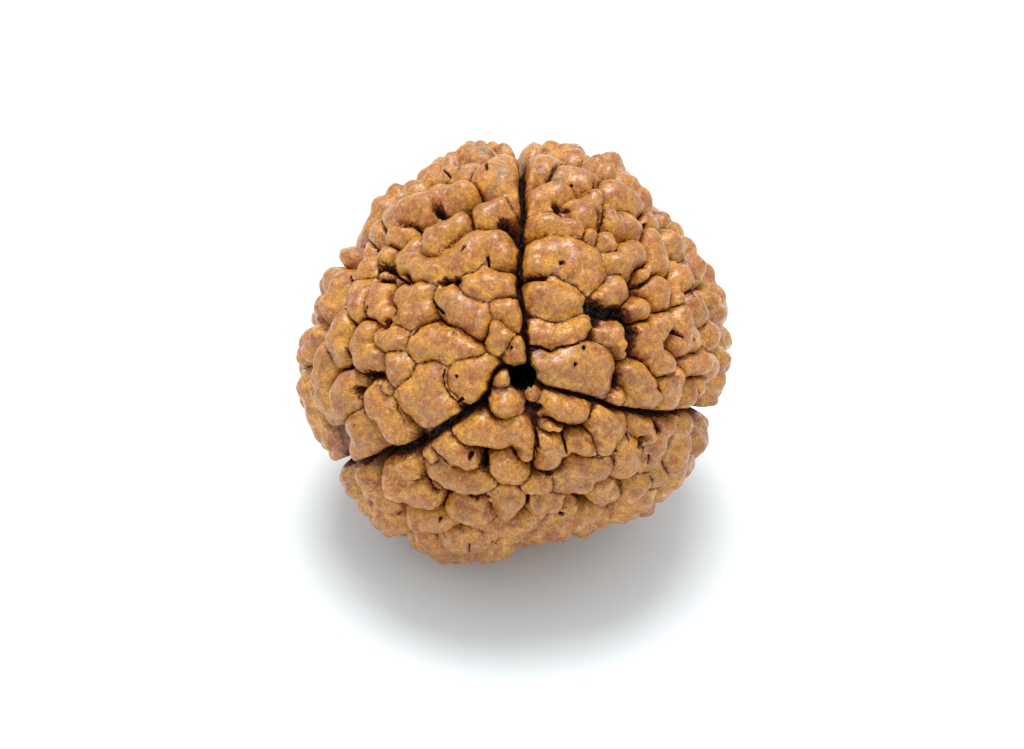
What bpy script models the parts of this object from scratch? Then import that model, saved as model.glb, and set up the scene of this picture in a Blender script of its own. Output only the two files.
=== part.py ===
# A three-faced rudraksha stone: a knobbly round stone parted by three furrows that run from pole to
# pole, drilled through from pole to pole for stringing. It lies on one lobe with the hole's mouth
# leaning up and forward, and rests on a small flat worn across its lowest nodule.
#
# The stone is worked out in its own frame, in millimetres: +Z out of the hole's mouth, +Y up the first
# furrow, +X to the right of someone looking down the hole. A bearing is counted from +X toward +Y, and
# a fall is the angle down from +Z.
import math

import bmesh
import bpy
import numpy as np

MM = 0.001

# driving dimensions, mm
HALF_LENGTH = 11.6  # middle to pole, along the hole
OUTLINE = {0: 12.0, 30: 11.6, 60: 12.0, 90: 11.9, 120: 11.3, 145: 10.9, 170: 11.7, 190: 12.1, 230: 12.4,
           250: 12.2, 275: 11.2, 295: 11.1, 320: 11.8, 340: 11.7}  # middle to the crowns, by bearing
BORE_DIAMETER = 1.5
RIM_LUMPS = {0: .25, 10: .1, 25: .3, 38: 0, 50: -.35, 58: .1, 68: .55, 76: 0, 88: .1, 95: 0, 108: .4,
             117: .1, 130: .5, 144: -.2, 155: .45, 165: 0, 178: .2, 198: 0, 210: -.4, 220: -.3, 230: .15, 246: .1,
             256: .5, 267: .1, 281: -.6, 293: .15, 300: -.25, 310: .4, 319: .05, 330: .45, 340: .1,
             350: 0}  # how far the widest part stands out, by bearing
RIM_LUMP_SPAN = 24  # how far up and down those lumps reach, in degrees of fall
RELIEF = 0.85  # crown of a nodule down to where it parts from the next
DOME = 2.8  # how squarely a nodule is domed: 2 is a plain bowl, more is flatter on top
BLEND = 7.0  # how tightly the humps of one nodule run together
SPREAD = 1.08  # how far humps reach past the outlines given below, pressing the nodules together
KNOB_REACH, KNOB_FOOT, KNOB_HEIGHT = 0.8, 0.1, 0.3  # the rounded knob on each hump
PIT_FLOOR = -0.45  # how far below the parting, in reliefs, the gaps go
RIM_FROM, RIM_TO = 5.0, 10.0  # off the hole's axis, where the pressed plates turn into rounder nodules
PLATE_FLATNESS, RIM_FLATNESS, RIM_DEEPER = 0.5, 0.35, 0.15
PRESSED = 0.4  # how deep, in reliefs, nodules part where they are pressed tightest
SWELL, SWELL_LENGTH = 0.15, 1.5  # uneven swelling of the nodules
CRACK_DEPTH, CRACK_REACH = 0.1, 0.16
FURROW_SHOULDER, FURROW_FLOOR = 0.5, -0.5
NOTCH, NOTCH_REACH = 0.4, 0.8  # how far the widest part dips at a furrow, most at the first one
GAP_SHOULDER = 0.3
LEAN = math.radians(54.3)  # the hole's axis away from upright
RESTING_NODULE, RESTING_LIFT = 2.4, 0.55  # radius of the lowest nodule and how far it stands out
FLAT_CUT = 0.75  # how much is worn off it
CREASE_SPACING, CROWN_SPACING = 0.37, 0.46  # mesh points along the creases and over the crowns

# Nodules that face the hole's mouth, each a chain of round humps (right, up, radius[, sunk]) in mm as
# seen straight down the hole. They keep to their own lobe.
LEFT_LOBE = [
    [(-1.25, 3.7, .65), (-.7, 3.75, .8), (-.45, 3.2, .65)],
    [(-2.85, 4.85, .95), (-2.0, 5.05, 1.15), (-1.1, 4.95, 1.0), (-.6, 4.8, .7)],
    [(-4.1, 4.15, .95), (-3.4, 3.65, 1.15), (-2.6, 3.2, 1.05), (-2.35, 2.7, .7)],
    [(-5.6, 1.45, .9), (-5.0, 1.95, 1.15), (-4.1, 1.85, 1.15), (-3.2, 1.55, .85), (-2.5, 1.45, .5)],
    [(-1.45, 2.6, .6), (-1.35, 2.0, .8), (-.9, 2.3, .5)],
    [(-.35, 1.9, .45), (-.35, 1.3, .7), (-.2, .85, .5)],
    [(-3.6, -.2, .8), (-2.8, .1, 1.2), (-2.2, .45, .9), (-2.65, -.8, .95)],
    [(-6.2, -1.3, 1.0), (-5.2, -.3, 1.15), (-5.3, -1.7, 1.25), (-4.5, -1.9, .95)],
    [(-6.65, 4.2, .8), (-5.75, 4.25, .95), (-6.3, 3.3, 1.05), (-5.5, 3.4, .85)],
    [(-7.6, 1.85, .75), (-7.1, 1.7, .9), (-6.7, 1.7, .65)],
    [(-7.05, .5, .85), (-6.65, .35, .75), (-7.1, -.1, .75)],
    [(-7.45, -.8, .45, .1)],
    [(-8.6, 2.1, .8), (-9.0, 1.2, .9), (-8.3, .65, .8), (-8.9, .45, .7)],
    [(-9.9, 2.2, .8), (-10.2, 1.3, .85), (-10.0, .5, .7)],
    [(-9.0, 3.2, .75), (-8.9, 4.0, .8)],
    [(-8.1, 3.6, .95), (-7.8, 4.3, .85), (-7.6, 3.2, .7)],
    [(-7.5, 4.95, .5, .1)],
    [(-6.75, 4.9, .45, .1)],
    [(-6.4, 6.1, .95), (-6.0, 6.7, .75), (-5.7, 5.65, .85), (-5.0, 5.7, .85), (-4.0, 6.05, .95),
     (-3.2, 6.4, 1.0), (-2.7, 7.1, 1.05), (-1.6, 7.2, 1.05), (-1.0, 6.6, .9)],
    [(-5.1, 6.9, .7), (-5.0, 7.4, .8), (-4.3, 7.8, .8), (-3.5, 8.2, .75)],
    [(-2.0, 8.8, .85), (-1.4, 9.05, .8), (-1.1, 9.2, .6)],
    [(-.55, 9.4, .45), (-.8, 10.4, .85), (-1.6, 10.6, .9), (-1.0, 11.2, .8)],
    [(-6.8, 8.1, .7), (-6.1, 8.5, .75), (-5.4, 8.9, .8), (-4.6, 9.3, .8), (-3.7, 9.5, .8), (-3.0, 9.7, .65)],
    [(-7.9, 7.0, .7)],
    [(-6.9, 7.05, .65), (-6.5, 7.2, .6)],
    [(-7.4, 6.2, .6), (-7.6, 5.8, .5)],
    [(-8.5, 6.2, .6), (-8.4, 5.5, .6)],
    [(-2.9, 10.6, .8), (-3.8, 10.3, .6)],
    [(-9.7, -.9, .9), (-9.9, -1.7, .9), (-9.9, -2.4, .7)],
    [(-9.3, -3.5, .85), (-8.9, -4.2, .95), (-8.4, -4.3, .8), (-9.1, -4.9, .7)],
    [(-8.2, -1.5, .75), (-8.2, -2.2, .8), (-7.5, -2.1, .75), (-7.5, -2.9, .9), (-7.1, -3.5, .9)],
    [(-10.9, .2, .7), (-11.0, -.9, .8), (-10.9, -2.3, .75)],
]
RIGHT_LOBE = [
    [(.95, 4.5, .95, -.12), (1.6, 4.4, 1.1, -.12), (2.3, 4.2, 1.0, -.12), (2.85, 4.0, .7, -.12)],
    [(.8, 2.5, .8), (1.5, 2.3, .75), (2.3, 2.3, .75), (3.0, 2.6, .65), (3.45, 2.9, .45)],
    [(1.2, .8, .85), (1.9, .7, 1.1), (2.8, .5, 1.25), (3.7, .4, 1.3), (4.3, .5, 1.2), (4.2, -.3, .95)],
    [(4.6, 2.45, .65), (5.1, 2.3, .75), (5.5, 1.6, .5), (5.65, 1.1, .35)],
    [(4.4, 4.25, .55), (4.8, 4.5, .8), (5.4, 4.65, .85)],
    [(.8, 6.8, .9), (1.7, 6.9, .95), (2.6, 6.8, .9), (.8, 6.0, .8), (3.0, 6.0, 1.1), (3.6, 6.3, 1.0),
     (3.8, 5.4, 1.0)],
    [(1.0, 8.3, .8), (1.7, 8.2, .8), (2.5, 8.0, .7), (3.0, 7.85, .55)],
    [(3.9, 7.5, .55, .1)],
    [(4.8, 7.2, .65), (5.0, 6.85, .5)],
    [(5.2, 6.1, .8), (5.9, 6.4, .95), (6.5, 6.5, .95), (5.8, 5.8, .7)],
    [(7.4, 4.6, .8), (7.95, 4.4, .95), (7.9, 3.8, .75)],
    [(6.9, 5.25, .55), (7.25, 5.6, .5)],
    [(6.2, 3.5, .7), (6.75, 3.5, .8)],
    [(6.9, 2.1, .9),(7.2, 1.4, .9), (7.7, 2.3, .9), (8.2, 2.6, .7), (7.6, .5, .9), (8.15, .35, .75)],
    [(9.2, 3.0, .55), (9.3, 2.3, .85), (9.3, 1.4, .85), (9.9, 1.5, .75)],
    [(9.9, 3.5, .7), (10.2, 2.8, .7)],
    [(9.2, 4.8, .85), (8.9, 3.8, .55)],
    [(10.9, 1.6, .7)],
    [(9.6, .1, .7), (10.3, .1, .8), (10.8, -.4, .7)],
    [(8.2, -.9, .85), (8.8, -.6, .7), (8.7, -1.5, .85), (8.4, -2.0, .7)],
    [(9.7, -1.8, .75), (10.2, -1.4, .75)],
    [(6.0, .1, .7), (6.5, -.3, .95), (6.9, -.9, 1.0), (6.8, -1.4, .9), (7.5, -1.6, .7)],
    [(5.5, -1.2, .55), (5.05, -1.35, .4)],
    [(.8, 9.5, .7), (1.5, 9.7, .85), (2.2, 9.9, .8)],
    [(3.3, 9.0, .8), (3.9, 8.7, .85), (3.4, 8.6, .7), (4.1, 9.4, .6)],
    [(5.0, 8.4, .75), (5.35, 7.9, .65)],
    [(6.1, 8.2, .8), (6.5, 7.8, .75)],
    [(5.2, 9.6, .75), (5.9, 9.3, .85), (6.7, 8.9, .7)],
    [(1.4, 11.1, .9), (.6, 10.6, .5)],
    [(2.6, 10.7, .8), (3.6, 10.4, .75)],
    [(7.5, 8.1, .7)],
    [(7.6, 7.0, .7), (7.8, 6.4, .85), (8.0, 5.9, .8)],
    [(8.8, 6.7, .7)],
]
LOWER_LOBE = [
    [(-1.15, -.15, .55, .2)],
    [(-.97, -1.6, .9, -.12)],
    [(.5, -.95, .5, .25)],
    [(1.75, -1.6, .9), (2.5, -1.95, 1.0), (3.05, -2.1, .95)],
    [(1.6, -2.7, .55, .2), (2.1, -2.85, .45, .2)],
    [(-3.0, -3.4, .85), (-2.2, -3.1, 1.1), (-1.3, -3.3, 1.05), (-.4, -3.1, .8)],
    [(.2, -2.9, .7), (.2, -3.7, .8), (.3, -4.5, .65)],
    [(1.5, -3.9, .9), (1.5, -4.8, .9)],
    [(3.0, -3.9, .8), (3.5, -4.2, .7)],
    [(4.2, -2.5, .8), (4.9, -2.9, .9), (5.5, -3.2, .8)],
    [(4.6, -4.0, .7)],
    [(3.4, -5.5, 1.0), (4.3, -5.6, 1.0), (2.7, -6.4, .9), (3.6, -6.6, .8)],
    [(5.9, -4.6, .9), (6.1, -5.4, 1.0), (5.7, -5.6, .8)],
    [(6.9, -3.0, .8), (7.3, -3.7, .6)],
    [(8.4, -3.5, .75), (7.9, -4.5, .9), (7.5, -5.3, .8)],
    [(9.5, -3.5, .7), (9.4, -4.7, .8), (8.8, -5.8, .7)],
    [(7.9, -6.5, .7)],
    [(7.0, -6.9, .7), (6.3, -7.2, .75)],
    [(4.6, -6.9, .9), (5.1, -7.2, .75), (4.6, -7.6, .6)],
    [(-1.05, -4.9, .9), (-.75, -5.3, .95), (-.4, -5.5, .8)],
    [(-4.3, -4.1, .75), (-3.6, -4.5, .95), (-2.9, -4.9, .75)],
    [(-5.3, -4.6, .45, .1), (-4.95, -4.9, .45, .1)],
    [(-4.7, -5.6, .85), (-4.0, -6.0, .95), (-3.2, -6.3, .95), (-2.4, -6.2, .95)],
    [(-6.6, -5.3, .65), (-6.2, -5.65, .7)],
    [(-7.3, -6.4, .75), (-6.9, -7.0, .9), (-6.0, -7.3, 1.0), (-5.2, -7.4, .85)],
    [(-3.5, -8.0, .85), (-2.8, -8.3, .9), (-2.2, -8.6, .7)],
    [(-1.0, -7.2, .85), (-.5, -7.5, .85), (-.8, -8.0, .75)],
    [(.6, -6.5, .6), (1.3, -6.6, .75)],
    [(1.2, -7.7, .85), (1.9, -7.8, .8)],
    [(2.9, -7.9, .6)],
    [(.6, -8.9, .8), (-.3, -9.3, .8), (-1.3, -9.3, .8)],
    [(1.9, -9.2, .8), (3.2, -9.0, .85), (4.2, -8.7, .7)],
    [(-3.4, -10.4, .8), (-2.4, -10.4, .8)],
    [(-5.6, -8.9, .75), (-4.7, -9.1, .85)],
    [(-8.7, -6.5, .7), (-8.3, -7.3, .75), (-7.6, -8.1, .7)],
]

# Furrows, from the hole's mouth outward: (right, up, half width) as above, then (bearing, fall, half
# width) round the far side.
FURROWS = [
    ([(.33, .9, .1), (.3, 1.5, .12), (.2, 2.0, .12), (.05, 2.5, .15), (.1, 3.0, .15), (.1, 3.6, .15),
      (-.02, 4.2, .15), (-.13, 5.0, .15), (-.1, 6.0, .14), (0, 8.0, .16), (.19, 10.0, .17),
      (.21, 11.0, .17)],
     [(89, 90, .18), (91, 110, .15), (88, 130, .16), (92, 150, .15), (84, 172, .12)]),
    ([(-.75, .5, .12), (-1.1, .55, .14), (-1.5, .15, .13), (-1.72, -.4, .1), (-1.85, -.9, .14),
      (-2.3, -1.45, .2), (-3.05, -2.1, .2), (-3.95, -2.75, .22), (-5.0, -3.55, .25), (-6.05, -4.35, .3),
      (-7.6, -4.95, .3), (-8.1, -5.35, .25), (-8.75, -5.55, .14), (-9.3, -5.8, .12)],
     [(213, 90, .14), (216, 112, .16), (211, 132, .14), (215, 152, .16), (205, 172, .12)]),
    ([(.8, -.25, .1), (1.25, -.6, .12), (1.8, -.75, .12), (2.5, -.93, .12), (3.25, -1.15, .13),
      (4.4, -1.5, .15), (5.2, -1.9, .17), (6.0, -2.15, .17), (7.65, -2.5, .18), (8.45, -2.68, .18),
      (9.3, -2.72, .15), (9.8, -2.75, .13)],
     [(343, 90, .14), (340, 112, .15), (344, 132, .14), (337, 152, .15), (346, 172, .12)]),
]

# Open gaps wider than the partings between nodules: points and half width.
GAPS = [
    ([(3.75, 3.75), (4.5, 3.5), (5.3, 3.4)], .42), ([(5.7, 3.0), (6.15, 2.2), (6.05, 1.1)], .25),
    ([(4.3, 3.4), (4.0, 2.9)], .2), ([(.15, -1.6), (.8, -1.85)], .22), ([(1.0, -5.65), (1.7, -5.8)], .16),
    ([(-2.1, -4.7), (-1.95, -5.35)], .18), ([(-4.45, -6.7), (-4.2, -7.1)], .2),
    ([(-5.45, -6.0), (-5.35, -6.4)], .14), ([(-2.7, -7.2), (-2.0, -7.35)], .15),
    ([(3.4, -7.35), (3.6, -7.75), (4.3, -8.0)], .16), ([(2.1, 9.15), (2.7, 8.85)], .16),
    ([(-1.1, 8.4), (-.4, 8.5)], .18), ([(-4.7, 8.85), (-4.1, 8.6)], .18),
    ([(-6.4, 7.65), (-5.65, 7.75)], .16), ([(-7.9, 5.4), (-7.1, 5.45)], .16),
    ([(-4.4, 5.05), (-3.65, 5.1)], .16), ([(-7.45, 2.65), (-7.5, 2.45)], .16),
    ([(-8.9, -.4), (-7.85, -.4)], .16), ([(-9.1, -1.25), (-8.85, -2.3)], .2),
    ([(6.85, -3.75), (6.7, -4.25)], .12), ([(-1.05, .6), (-1.15, .5)], .14),
    ([(6.25, 5.4), (6.35, 5.0)], .14), ([(4.35, 8.1), (4.3, 8.5)], .12),
    ([(5.3, -.1), (5.35, -.6)], .14), ([(.5, 5.4), (1.25, 5.42)], .11),
]


def round_the_stone(table, bearing):
    """A smooth closed curve through a table of bearings and values."""
    keys = np.array(list(table), float)
    reach = np.array(list(table.values()))
    keys, reach = np.concatenate([keys - 360, keys, keys + 360]), np.tile(reach, 3)
    slope = np.gradient(reach, keys)
    bearing = np.asarray(bearing, float) % 360
    i = np.searchsorted(keys, bearing, side="right")
    span = keys[i] - keys[i - 1]
    t = (bearing - keys[i - 1]) / span
    return ((2 * t**3 - 3 * t**2 + 1) * reach[i - 1] + (t**3 - 2 * t**2 + t) * span * slope[i - 1]
            + (3 * t**2 - 2 * t**3) * reach[i] + (t**3 - t**2) * span * slope[i])


def bearing_and_fall(points):
    bearing = np.degrees(np.arctan2(points[:, 1], points[:, 0])) % 360
    return bearing, np.degrees(np.arctan2(np.hypot(points[:, 0], points[:, 1]), points[:, 2]))


def onto_envelope(points):
    """Moves points along their own direction onto the smooth surface that the crowns touch."""
    side = np.hypot(points[:, 0], points[:, 1])
    reach = round_the_stone(OUTLINE, np.degrees(np.arctan2(points[:, 1], points[:, 0])))
    return points / np.sqrt((side / reach) ** 2 + (points[:, 2] / HALF_LENGTH) ** 2)[:, None]


def facing_mouth(right, up):
    """The point of the envelope at a place seen straight down the hole."""
    reach = float(round_the_stone(OUTLINE, math.degrees(math.atan2(up, right))))
    rise = HALF_LENGTH * math.sqrt(max(0.0, 1 - (right * right + up * up) / reach**2))
    return np.array([right, up, rise])


def soft_noise(points, wavelength, seed):
    """Smooth noise from -1 to 1 with swells about a wavelength apart."""
    size = 24
    values = np.random.default_rng(seed).uniform(-1, 1, (size, size, size))
    cell = points / wavelength
    low = np.floor(cell).astype(int)
    part = cell - low
    part = part * part * (3 - 2 * part)
    total = np.zeros(len(points))
    for corner in range(8):
        step = np.array([corner & 1, corner >> 1 & 1, corner >> 2])
        i, j, k = ((low + step) % size).T
        total += np.prod(np.where(step, part, 1 - part), axis=1) * values[i, j, k]
    return total


def furrow_courses():
    """For each furrow its falls, bearings and half widths, hole's mouth to far pole."""
    courses = []
    for front, back in FURROWS:
        bearing, fall = bearing_and_fall(np.array([facing_mouth(right, up) for right, up, _ in front]))
        bearing = np.concatenate([bearing, [b for b, _, _ in back]])
        bearing = np.degrees(np.unwrap(np.radians(bearing)))
        fall = np.concatenate([fall, [f for _, f, _ in back]])
        half = np.array([w for _, _, w in front] + [w for _, _, w in back])
        courses.append((fall, bearing, half))
    return courses


def lobes_and_furrows(points, courses):
    """Which lobe each point is on, and its distance in mm from the nearest furrow's middle and edge."""
    bearing, fall = bearing_and_fall(points)
    off_axis = np.linalg.norm(points, axis=1) * np.sin(np.radians(fall))
    middles, nearest, edge = [], np.full(len(points), 99.0), np.full(len(points), 99.0)
    for falls, bearings, halves in courses:
        middle = np.interp(fall, falls, bearings)
        ahead = np.interp(fall + 0.5, falls, bearings)
        slant = np.radians(ahead - middle) * off_axis / (12 * math.radians(0.5))
        across = np.radians((bearing - middle + 180) % 360 - 180) * off_axis / np.sqrt(1 + slant**2)
        nearest = np.minimum(nearest, np.abs(across))
        edge = np.minimum(edge, np.abs(across) - np.interp(fall, falls, halves))
        middles.append(middle)
    past_first = (bearing - middles[0]) % 360
    past_second = (bearing - middles[1]) % 360
    lobe = np.ones(len(points), int)
    lobe[past_second < (middles[2] - middles[1]) % 360] = 2
    lobe[past_first < (middles[1] - middles[0]) % 360] = 0
    return lobe, nearest, edge


def facing_nodules():
    """Humps of the nodules that face the hole's mouth: (place, radius, sunk, nodule, lobe)."""
    humps, nodule = [], 0
    for lobe, chains in enumerate((LEFT_LOBE, RIGHT_LOBE, LOWER_LOBE)):
        for chain in chains:
            for right, up, radius, *sunk in chain:
                place = facing_mouth(right, up)
                lies_away = 1 / max(place[2] / np.linalg.norm(place), 0.35) - 1
                humps.append((place, SPREAD * radius * (1 + 0.45 * lies_away), sum(sunk), nodule, lobe))
            nodule += 1
    return humps


def far_nodules(humps, courses):
    """Fills the rest of the stone with nodules by rule, big ones first, the first at the resting place."""
    rng = np.random.default_rng(11)
    places = [place for place, *_ in humps]
    radii = [radius for _, radius, *_ in humps]
    nodule = humps[-1][3] + 1
    resting = onto_envelope(np.array([[0.025, -math.sin(LEAN), -math.cos(LEAN)]]))[0]
    darts = [(resting, RESTING_NODULE)]
    for size, count in ((1.3, 500), (1.1, 900), (0.9, 2500)):
        thrown = rng.normal(size=(count, 3))
        darts += [(place, size * rng.uniform(0.9, 1.1)) for place in onto_envelope(thrown)]
    added = []
    for place, size in darts:
        lobe, _, furrow = lobes_and_furrows(place[None], courses)
        gaps = np.linalg.norm(np.array(places) - place, axis=1) - 0.84 * (np.array(radii) + size)
        if furrow[0] < 0.35 * size or gaps.min() < 0:
            continue
        others, other_radii = np.array(places), np.array(radii)
        cluster = [(place, size)]
        for _ in range(7 if size < 1.8 else 0):
            start, radius = cluster[rng.integers(len(cluster))]
            heading = np.cross(start, rng.normal(size=3))
            heading /= np.linalg.norm(heading)
            onward = onto_envelope((start + radius * heading)[None])[0]
            radius *= rng.uniform(0.8, 1.05)
            clear = np.linalg.norm(others - onward, axis=1) - 0.8 * (other_radii + radius)
            own = np.linalg.norm(np.array([other for other, _ in cluster]) - onward, axis=1)
            same_lobe, _, furrow = lobes_and_furrows(onward[None], courses)
            fits = min(clear.min(), furrow[0] - 0.2 * radius, own.min() - 0.7 * radius) > 0
            if fits and same_lobe[0] == lobe[0] and len(cluster) < 5:
                cluster.append((onward, radius))
        for where, radius in cluster:
            places.append(where)
            radii.append(radius)
            sunk = -RESTING_LIFT if where is resting else max(0.0, rng.normal(0, 0.05))
            added.append((where, radius, sunk, nodule, int(lobe[0])))
        nodule += 1
    return added


def nodule_fields(points, lobe, humps):
    """The highest nodule over each point, 1 on a crown and 0 where nodules part, with the distance in mm
    to its parting from the next one and how high on a knob of its own the point is."""
    places = np.array([place for place, *_ in humps])
    radii = np.array([radius for _, radius, *_ in humps])
    sunk = np.array([sink for _, _, sink, _, _ in humps]) / RELIEF
    owner = np.array([nodule for *_, nodule, _ in humps])
    starts = np.flatnonzero(np.diff(owner, prepend=-1))
    owner_lobe = np.array([lobe_of for *_, lobe_of in humps])[starts]
    owner_size = np.add.reduceat(radii, starts) / np.diff(np.append(starts, len(owner)))
    top, second, parting, knob = (np.empty(len(points)) for _ in range(4))
    for first in range(0, len(points), 4000):
        some = slice(first, first + 4000)
        apart = ((points[some, None] - places) ** 2).sum(axis=2) / radii**2
        dome = 1 - sunk - apart ** (DOME / 2)
        field = np.log(np.add.reduceat(np.exp(BLEND * np.maximum(dome, -3)), starts, axis=1)) / BLEND
        field[owner_lobe[None] != lobe[some, None]] = -3
        order = np.argpartition(field, -2, axis=1)
        best, next_best = order[:, -1], order[:, -2]
        rows = np.arange(len(field))
        top[some], second[some] = field[rows, best], field[rows, next_best]
        steep = DOME * np.clip(1 - top[some], 0.05, 2) ** 0.62
        steep *= 1 / owner_size[best] + 1 / owner_size[next_best]
        parting[some] = (top[some] - second[some]) / steep
        bump = np.add.reduceat(np.exp(6 * np.maximum(1 - apart / KNOB_REACH**2, -1.2)), starts, axis=1)
        knob[some] = np.log(bump[rows, best] + math.exp(6 * KNOB_FOOT)) / 6
    return top, parting, knob


def gap_distance(points):
    nearest = np.full(len(points), 99.0)
    for stations, half in GAPS:
        line = [facing_mouth(right, up) for right, up in stations]
        for a, b in zip(line, line[1:]):
            along = np.clip((points - a) @ (b - a) / ((b - a) @ (b - a)), 0, 1)
            away = np.linalg.norm(points - a - along[:, None] * (b - a), axis=1)
            nearest = np.minimum(nearest, away - half)
    return nearest


def relief(points, humps, courses):
    """Height over the envelope in mm, and the distance in mm to the nearest crease, for points on it."""
    wander = np.stack([soft_noise(points, 1.5, seed) for seed in (1, 2, 3)], axis=1)
    bent = points + 0.14 * wander
    lobe, across, furrow = lobes_and_furrows(bent, courses)
    top, parting, knob = nodule_fields(bent, lobe, humps)
    gap = gap_distance(bent)
    bearing, fall = bearing_and_fall(points)
    side = np.hypot(points[:, 0], points[:, 1])
    rim = np.clip((side - RIM_FROM) / (RIM_TO - RIM_FROM), 0, 1)
    rim = rim * rim * (3 - 2 * rim)
    deep = RELIEF * (1 + RIM_DEEPER * rim)
    flat = PLATE_FLATNESS * (1 - rim) + RIM_FLATNESS * rim
    opened = np.clip(0.38 + 1.5 * soft_noise(points, 2.3, 5), 0, 1)

    sunk = 1 - PIT_FLOOR - np.log1p(np.exp(8 * (top - PIT_FLOOR))) / 8
    lifted, sunk = np.maximum(-sunk, 0), np.maximum(sunk, 0)
    held = PRESSED + 1.1 * opened + 0.15 * rim
    sunk = sunk / (1 + (sunk / held) ** 4) ** 0.25 + 1.4 * np.maximum(sunk - 0.9, 0)
    height = deep * (lifted - np.where(sunk < 1, (1 - flat) * sunk + flat * sunk**3, sunk))
    height += round_the_stone(RIM_LUMPS, bearing) * np.exp(-(((fall - 90) / RIM_LUMP_SPAN) ** 2))
    height += KNOB_HEIGHT * (np.minimum(knob, 1.2) - 1)
    height -= CRACK_DEPTH * np.clip(1 - parting / CRACK_REACH, 0, 1) ** 2
    for edge, shoulder, floor in ((furrow, FURROW_SHOULDER, FURROW_FLOOR), (gap, GAP_SHOULDER, PIT_FLOOR)):
        wall = 1 - np.clip(1 - edge / shoulder, 0, 1) ** DOME + np.clip(edge * 6, floor, 0)
        height = np.where(edge < shoulder, np.minimum(height, deep * (wall - 1)), height)
    at_first_furrow = 0.25 + 0.75 * np.clip(points[:, 1] / np.maximum(side, 0.1), 0, 1)
    height -= NOTCH * at_first_furrow * rim * np.exp(-(np.maximum(furrow, 0) / NOTCH_REACH) ** 2)
    height += np.where(height > -deep, 1, 0.4) * SWELL * soft_noise(points, SWELL_LENGTH, 4)
    return height, np.minimum(parting, across)


def slid_into_creases(points, humps, courses):
    """Slides points sideways along the envelope until they lie in the nearest crease."""
    for _ in range(4):
        side = np.cross(points, (0.3, 0.5, 0.8))
        side /= np.linalg.norm(side, axis=1)[:, None]
        other = np.cross(points, side) / np.linalg.norm(points, axis=1)[:, None]
        here = relief(points, humps, courses)[1]
        slope = [(relief(points + 0.03 * axis, humps, courses)[1]
                  - relief(points - 0.03 * axis, humps, courses)[1]) / 0.06 for axis in (side, other)]
        push = here / np.maximum(slope[0] ** 2 + slope[1] ** 2, 0.2)
        push = np.minimum(push, 0.25)
        step = (push * slope[0])[:, None] * side + (push * slope[1])[:, None] * other
        points = onto_envelope(points - step)
    return points


def scattered_points(humps, courses):
    """Mesh points spread evenly over the envelope, strung along the creases first and then on the crowns."""
    thrown = onto_envelope(np.random.default_rng(5).normal(size=(50000, 3)))
    crease = relief(thrown, humps, courses)[1]
    in_creases = slid_into_creases(thrown[crease < 0.35], humps, courses)
    in_creases = in_creases[relief(in_creases, humps, courses)[1] < 0.03]
    kept, count = np.empty((len(thrown), 3)), 0
    for candidates, spacing in ((in_creases, CREASE_SPACING), (thrown[crease > 0.23], CROWN_SPACING)):
        for point in candidates:
            near = kept[:count] - point
            if count == 0 or (near * near).sum(axis=1).min() > spacing**2:
                kept[count] = point
                count += 1
    return kept[:count]


def skinned(points):
    """The closed skin of triangles over points spread round a ball."""
    shape = bmesh.new()
    for point in points:
        shape.verts.new(point / np.linalg.norm(point))
    bmesh.ops.convex_hull(shape, input=shape.verts[:])
    bmesh.ops.recalc_face_normals(shape, faces=shape.faces[:])
    shape.verts.index_update()
    faces = [[vert.index for vert in face.verts] for face in shape.faces]
    shape.free()
    return faces


def eased(height, crease, faces):
    """Rounds the crowns: each point off the creases goes part way to the mean height of its neighbours."""
    total, count = np.zeros(len(height)), np.zeros(len(height))
    for corner in range(3):
        here, onward = faces[:, corner], faces[:, (corner + 1) % 3]
        np.add.at(total, here, height[onward])
        np.add.at(count, here, 1)
    share = 0.3 * np.clip(crease / 0.15, 0, 1)
    return (1 - share) * height + share * total / count


def nodule_finish():
    material = bpy.data.materials.new("stone_ochre")
    material.use_nodes = True
    shader = material.node_tree.nodes["Principled BSDF"]
    shader.inputs["Base Color"].default_value = (0.47, 0.20, 0.055, 1)
    shader.inputs["Roughness"].default_value = 0.5
    shader.inputs["Metallic"].default_value = 0.0
    return material


def stone_mesh():
    """The stone in its own frame, its lowest nodule worn flat, with the height of its middle in mm."""
    courses = furrow_courses()
    humps = facing_nodules()
    humps += far_nodules(humps, courses)
    points = scattered_points(humps, courses)
    faces = skinned(points)
    height, crease = relief(points, humps, courses)
    height = eased(height, crease, np.array(faces))
    points = points * (1 + height / np.linalg.norm(points, axis=1))[:, None]
    upward = np.array([0, math.sin(LEAN), math.cos(LEAN)])
    middle_height = -(points @ upward).min() - FLAT_CUT
    points -= np.minimum(points @ upward + middle_height, 0)[:, None] * upward
    mesh = bpy.data.meshes.new("seed")
    mesh.from_pydata((points * MM).tolist(), [], faces)
    mesh.materials.append(nodule_finish())
    mesh.shade_smooth()
    return mesh, middle_height


def bore_cutter():
    """A rod as wide as the bore and longer than the stone."""
    shape = bmesh.new()
    bmesh.ops.create_cone(shape, cap_ends=True, segments=32, radius1=BORE_DIAMETER / 2 * MM,
                          radius2=BORE_DIAMETER / 2 * MM, depth=2.6 * HALF_LENGTH * MM)
    mesh = bpy.data.meshes.new("bore_cutter")
    shape.to_mesh(mesh)
    shape.free()
    cutter = bpy.data.objects.new("bore_cutter", mesh)
    cutter.hide_render = True
    cutter.display_type = "WIRE"
    bpy.context.scene.collection.objects.link(cutter)
    return cutter


for leftover in list(bpy.data.objects):
    bpy.data.objects.remove(leftover, do_unlink=True)

stone, stands = stone_mesh()
seed = bpy.data.objects.new("seed", stone)
seed.location = (0, 0, stands * MM)
seed.rotation_euler = (LEAN, 0, 0)
bpy.context.scene.collection.objects.link(seed)

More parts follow.
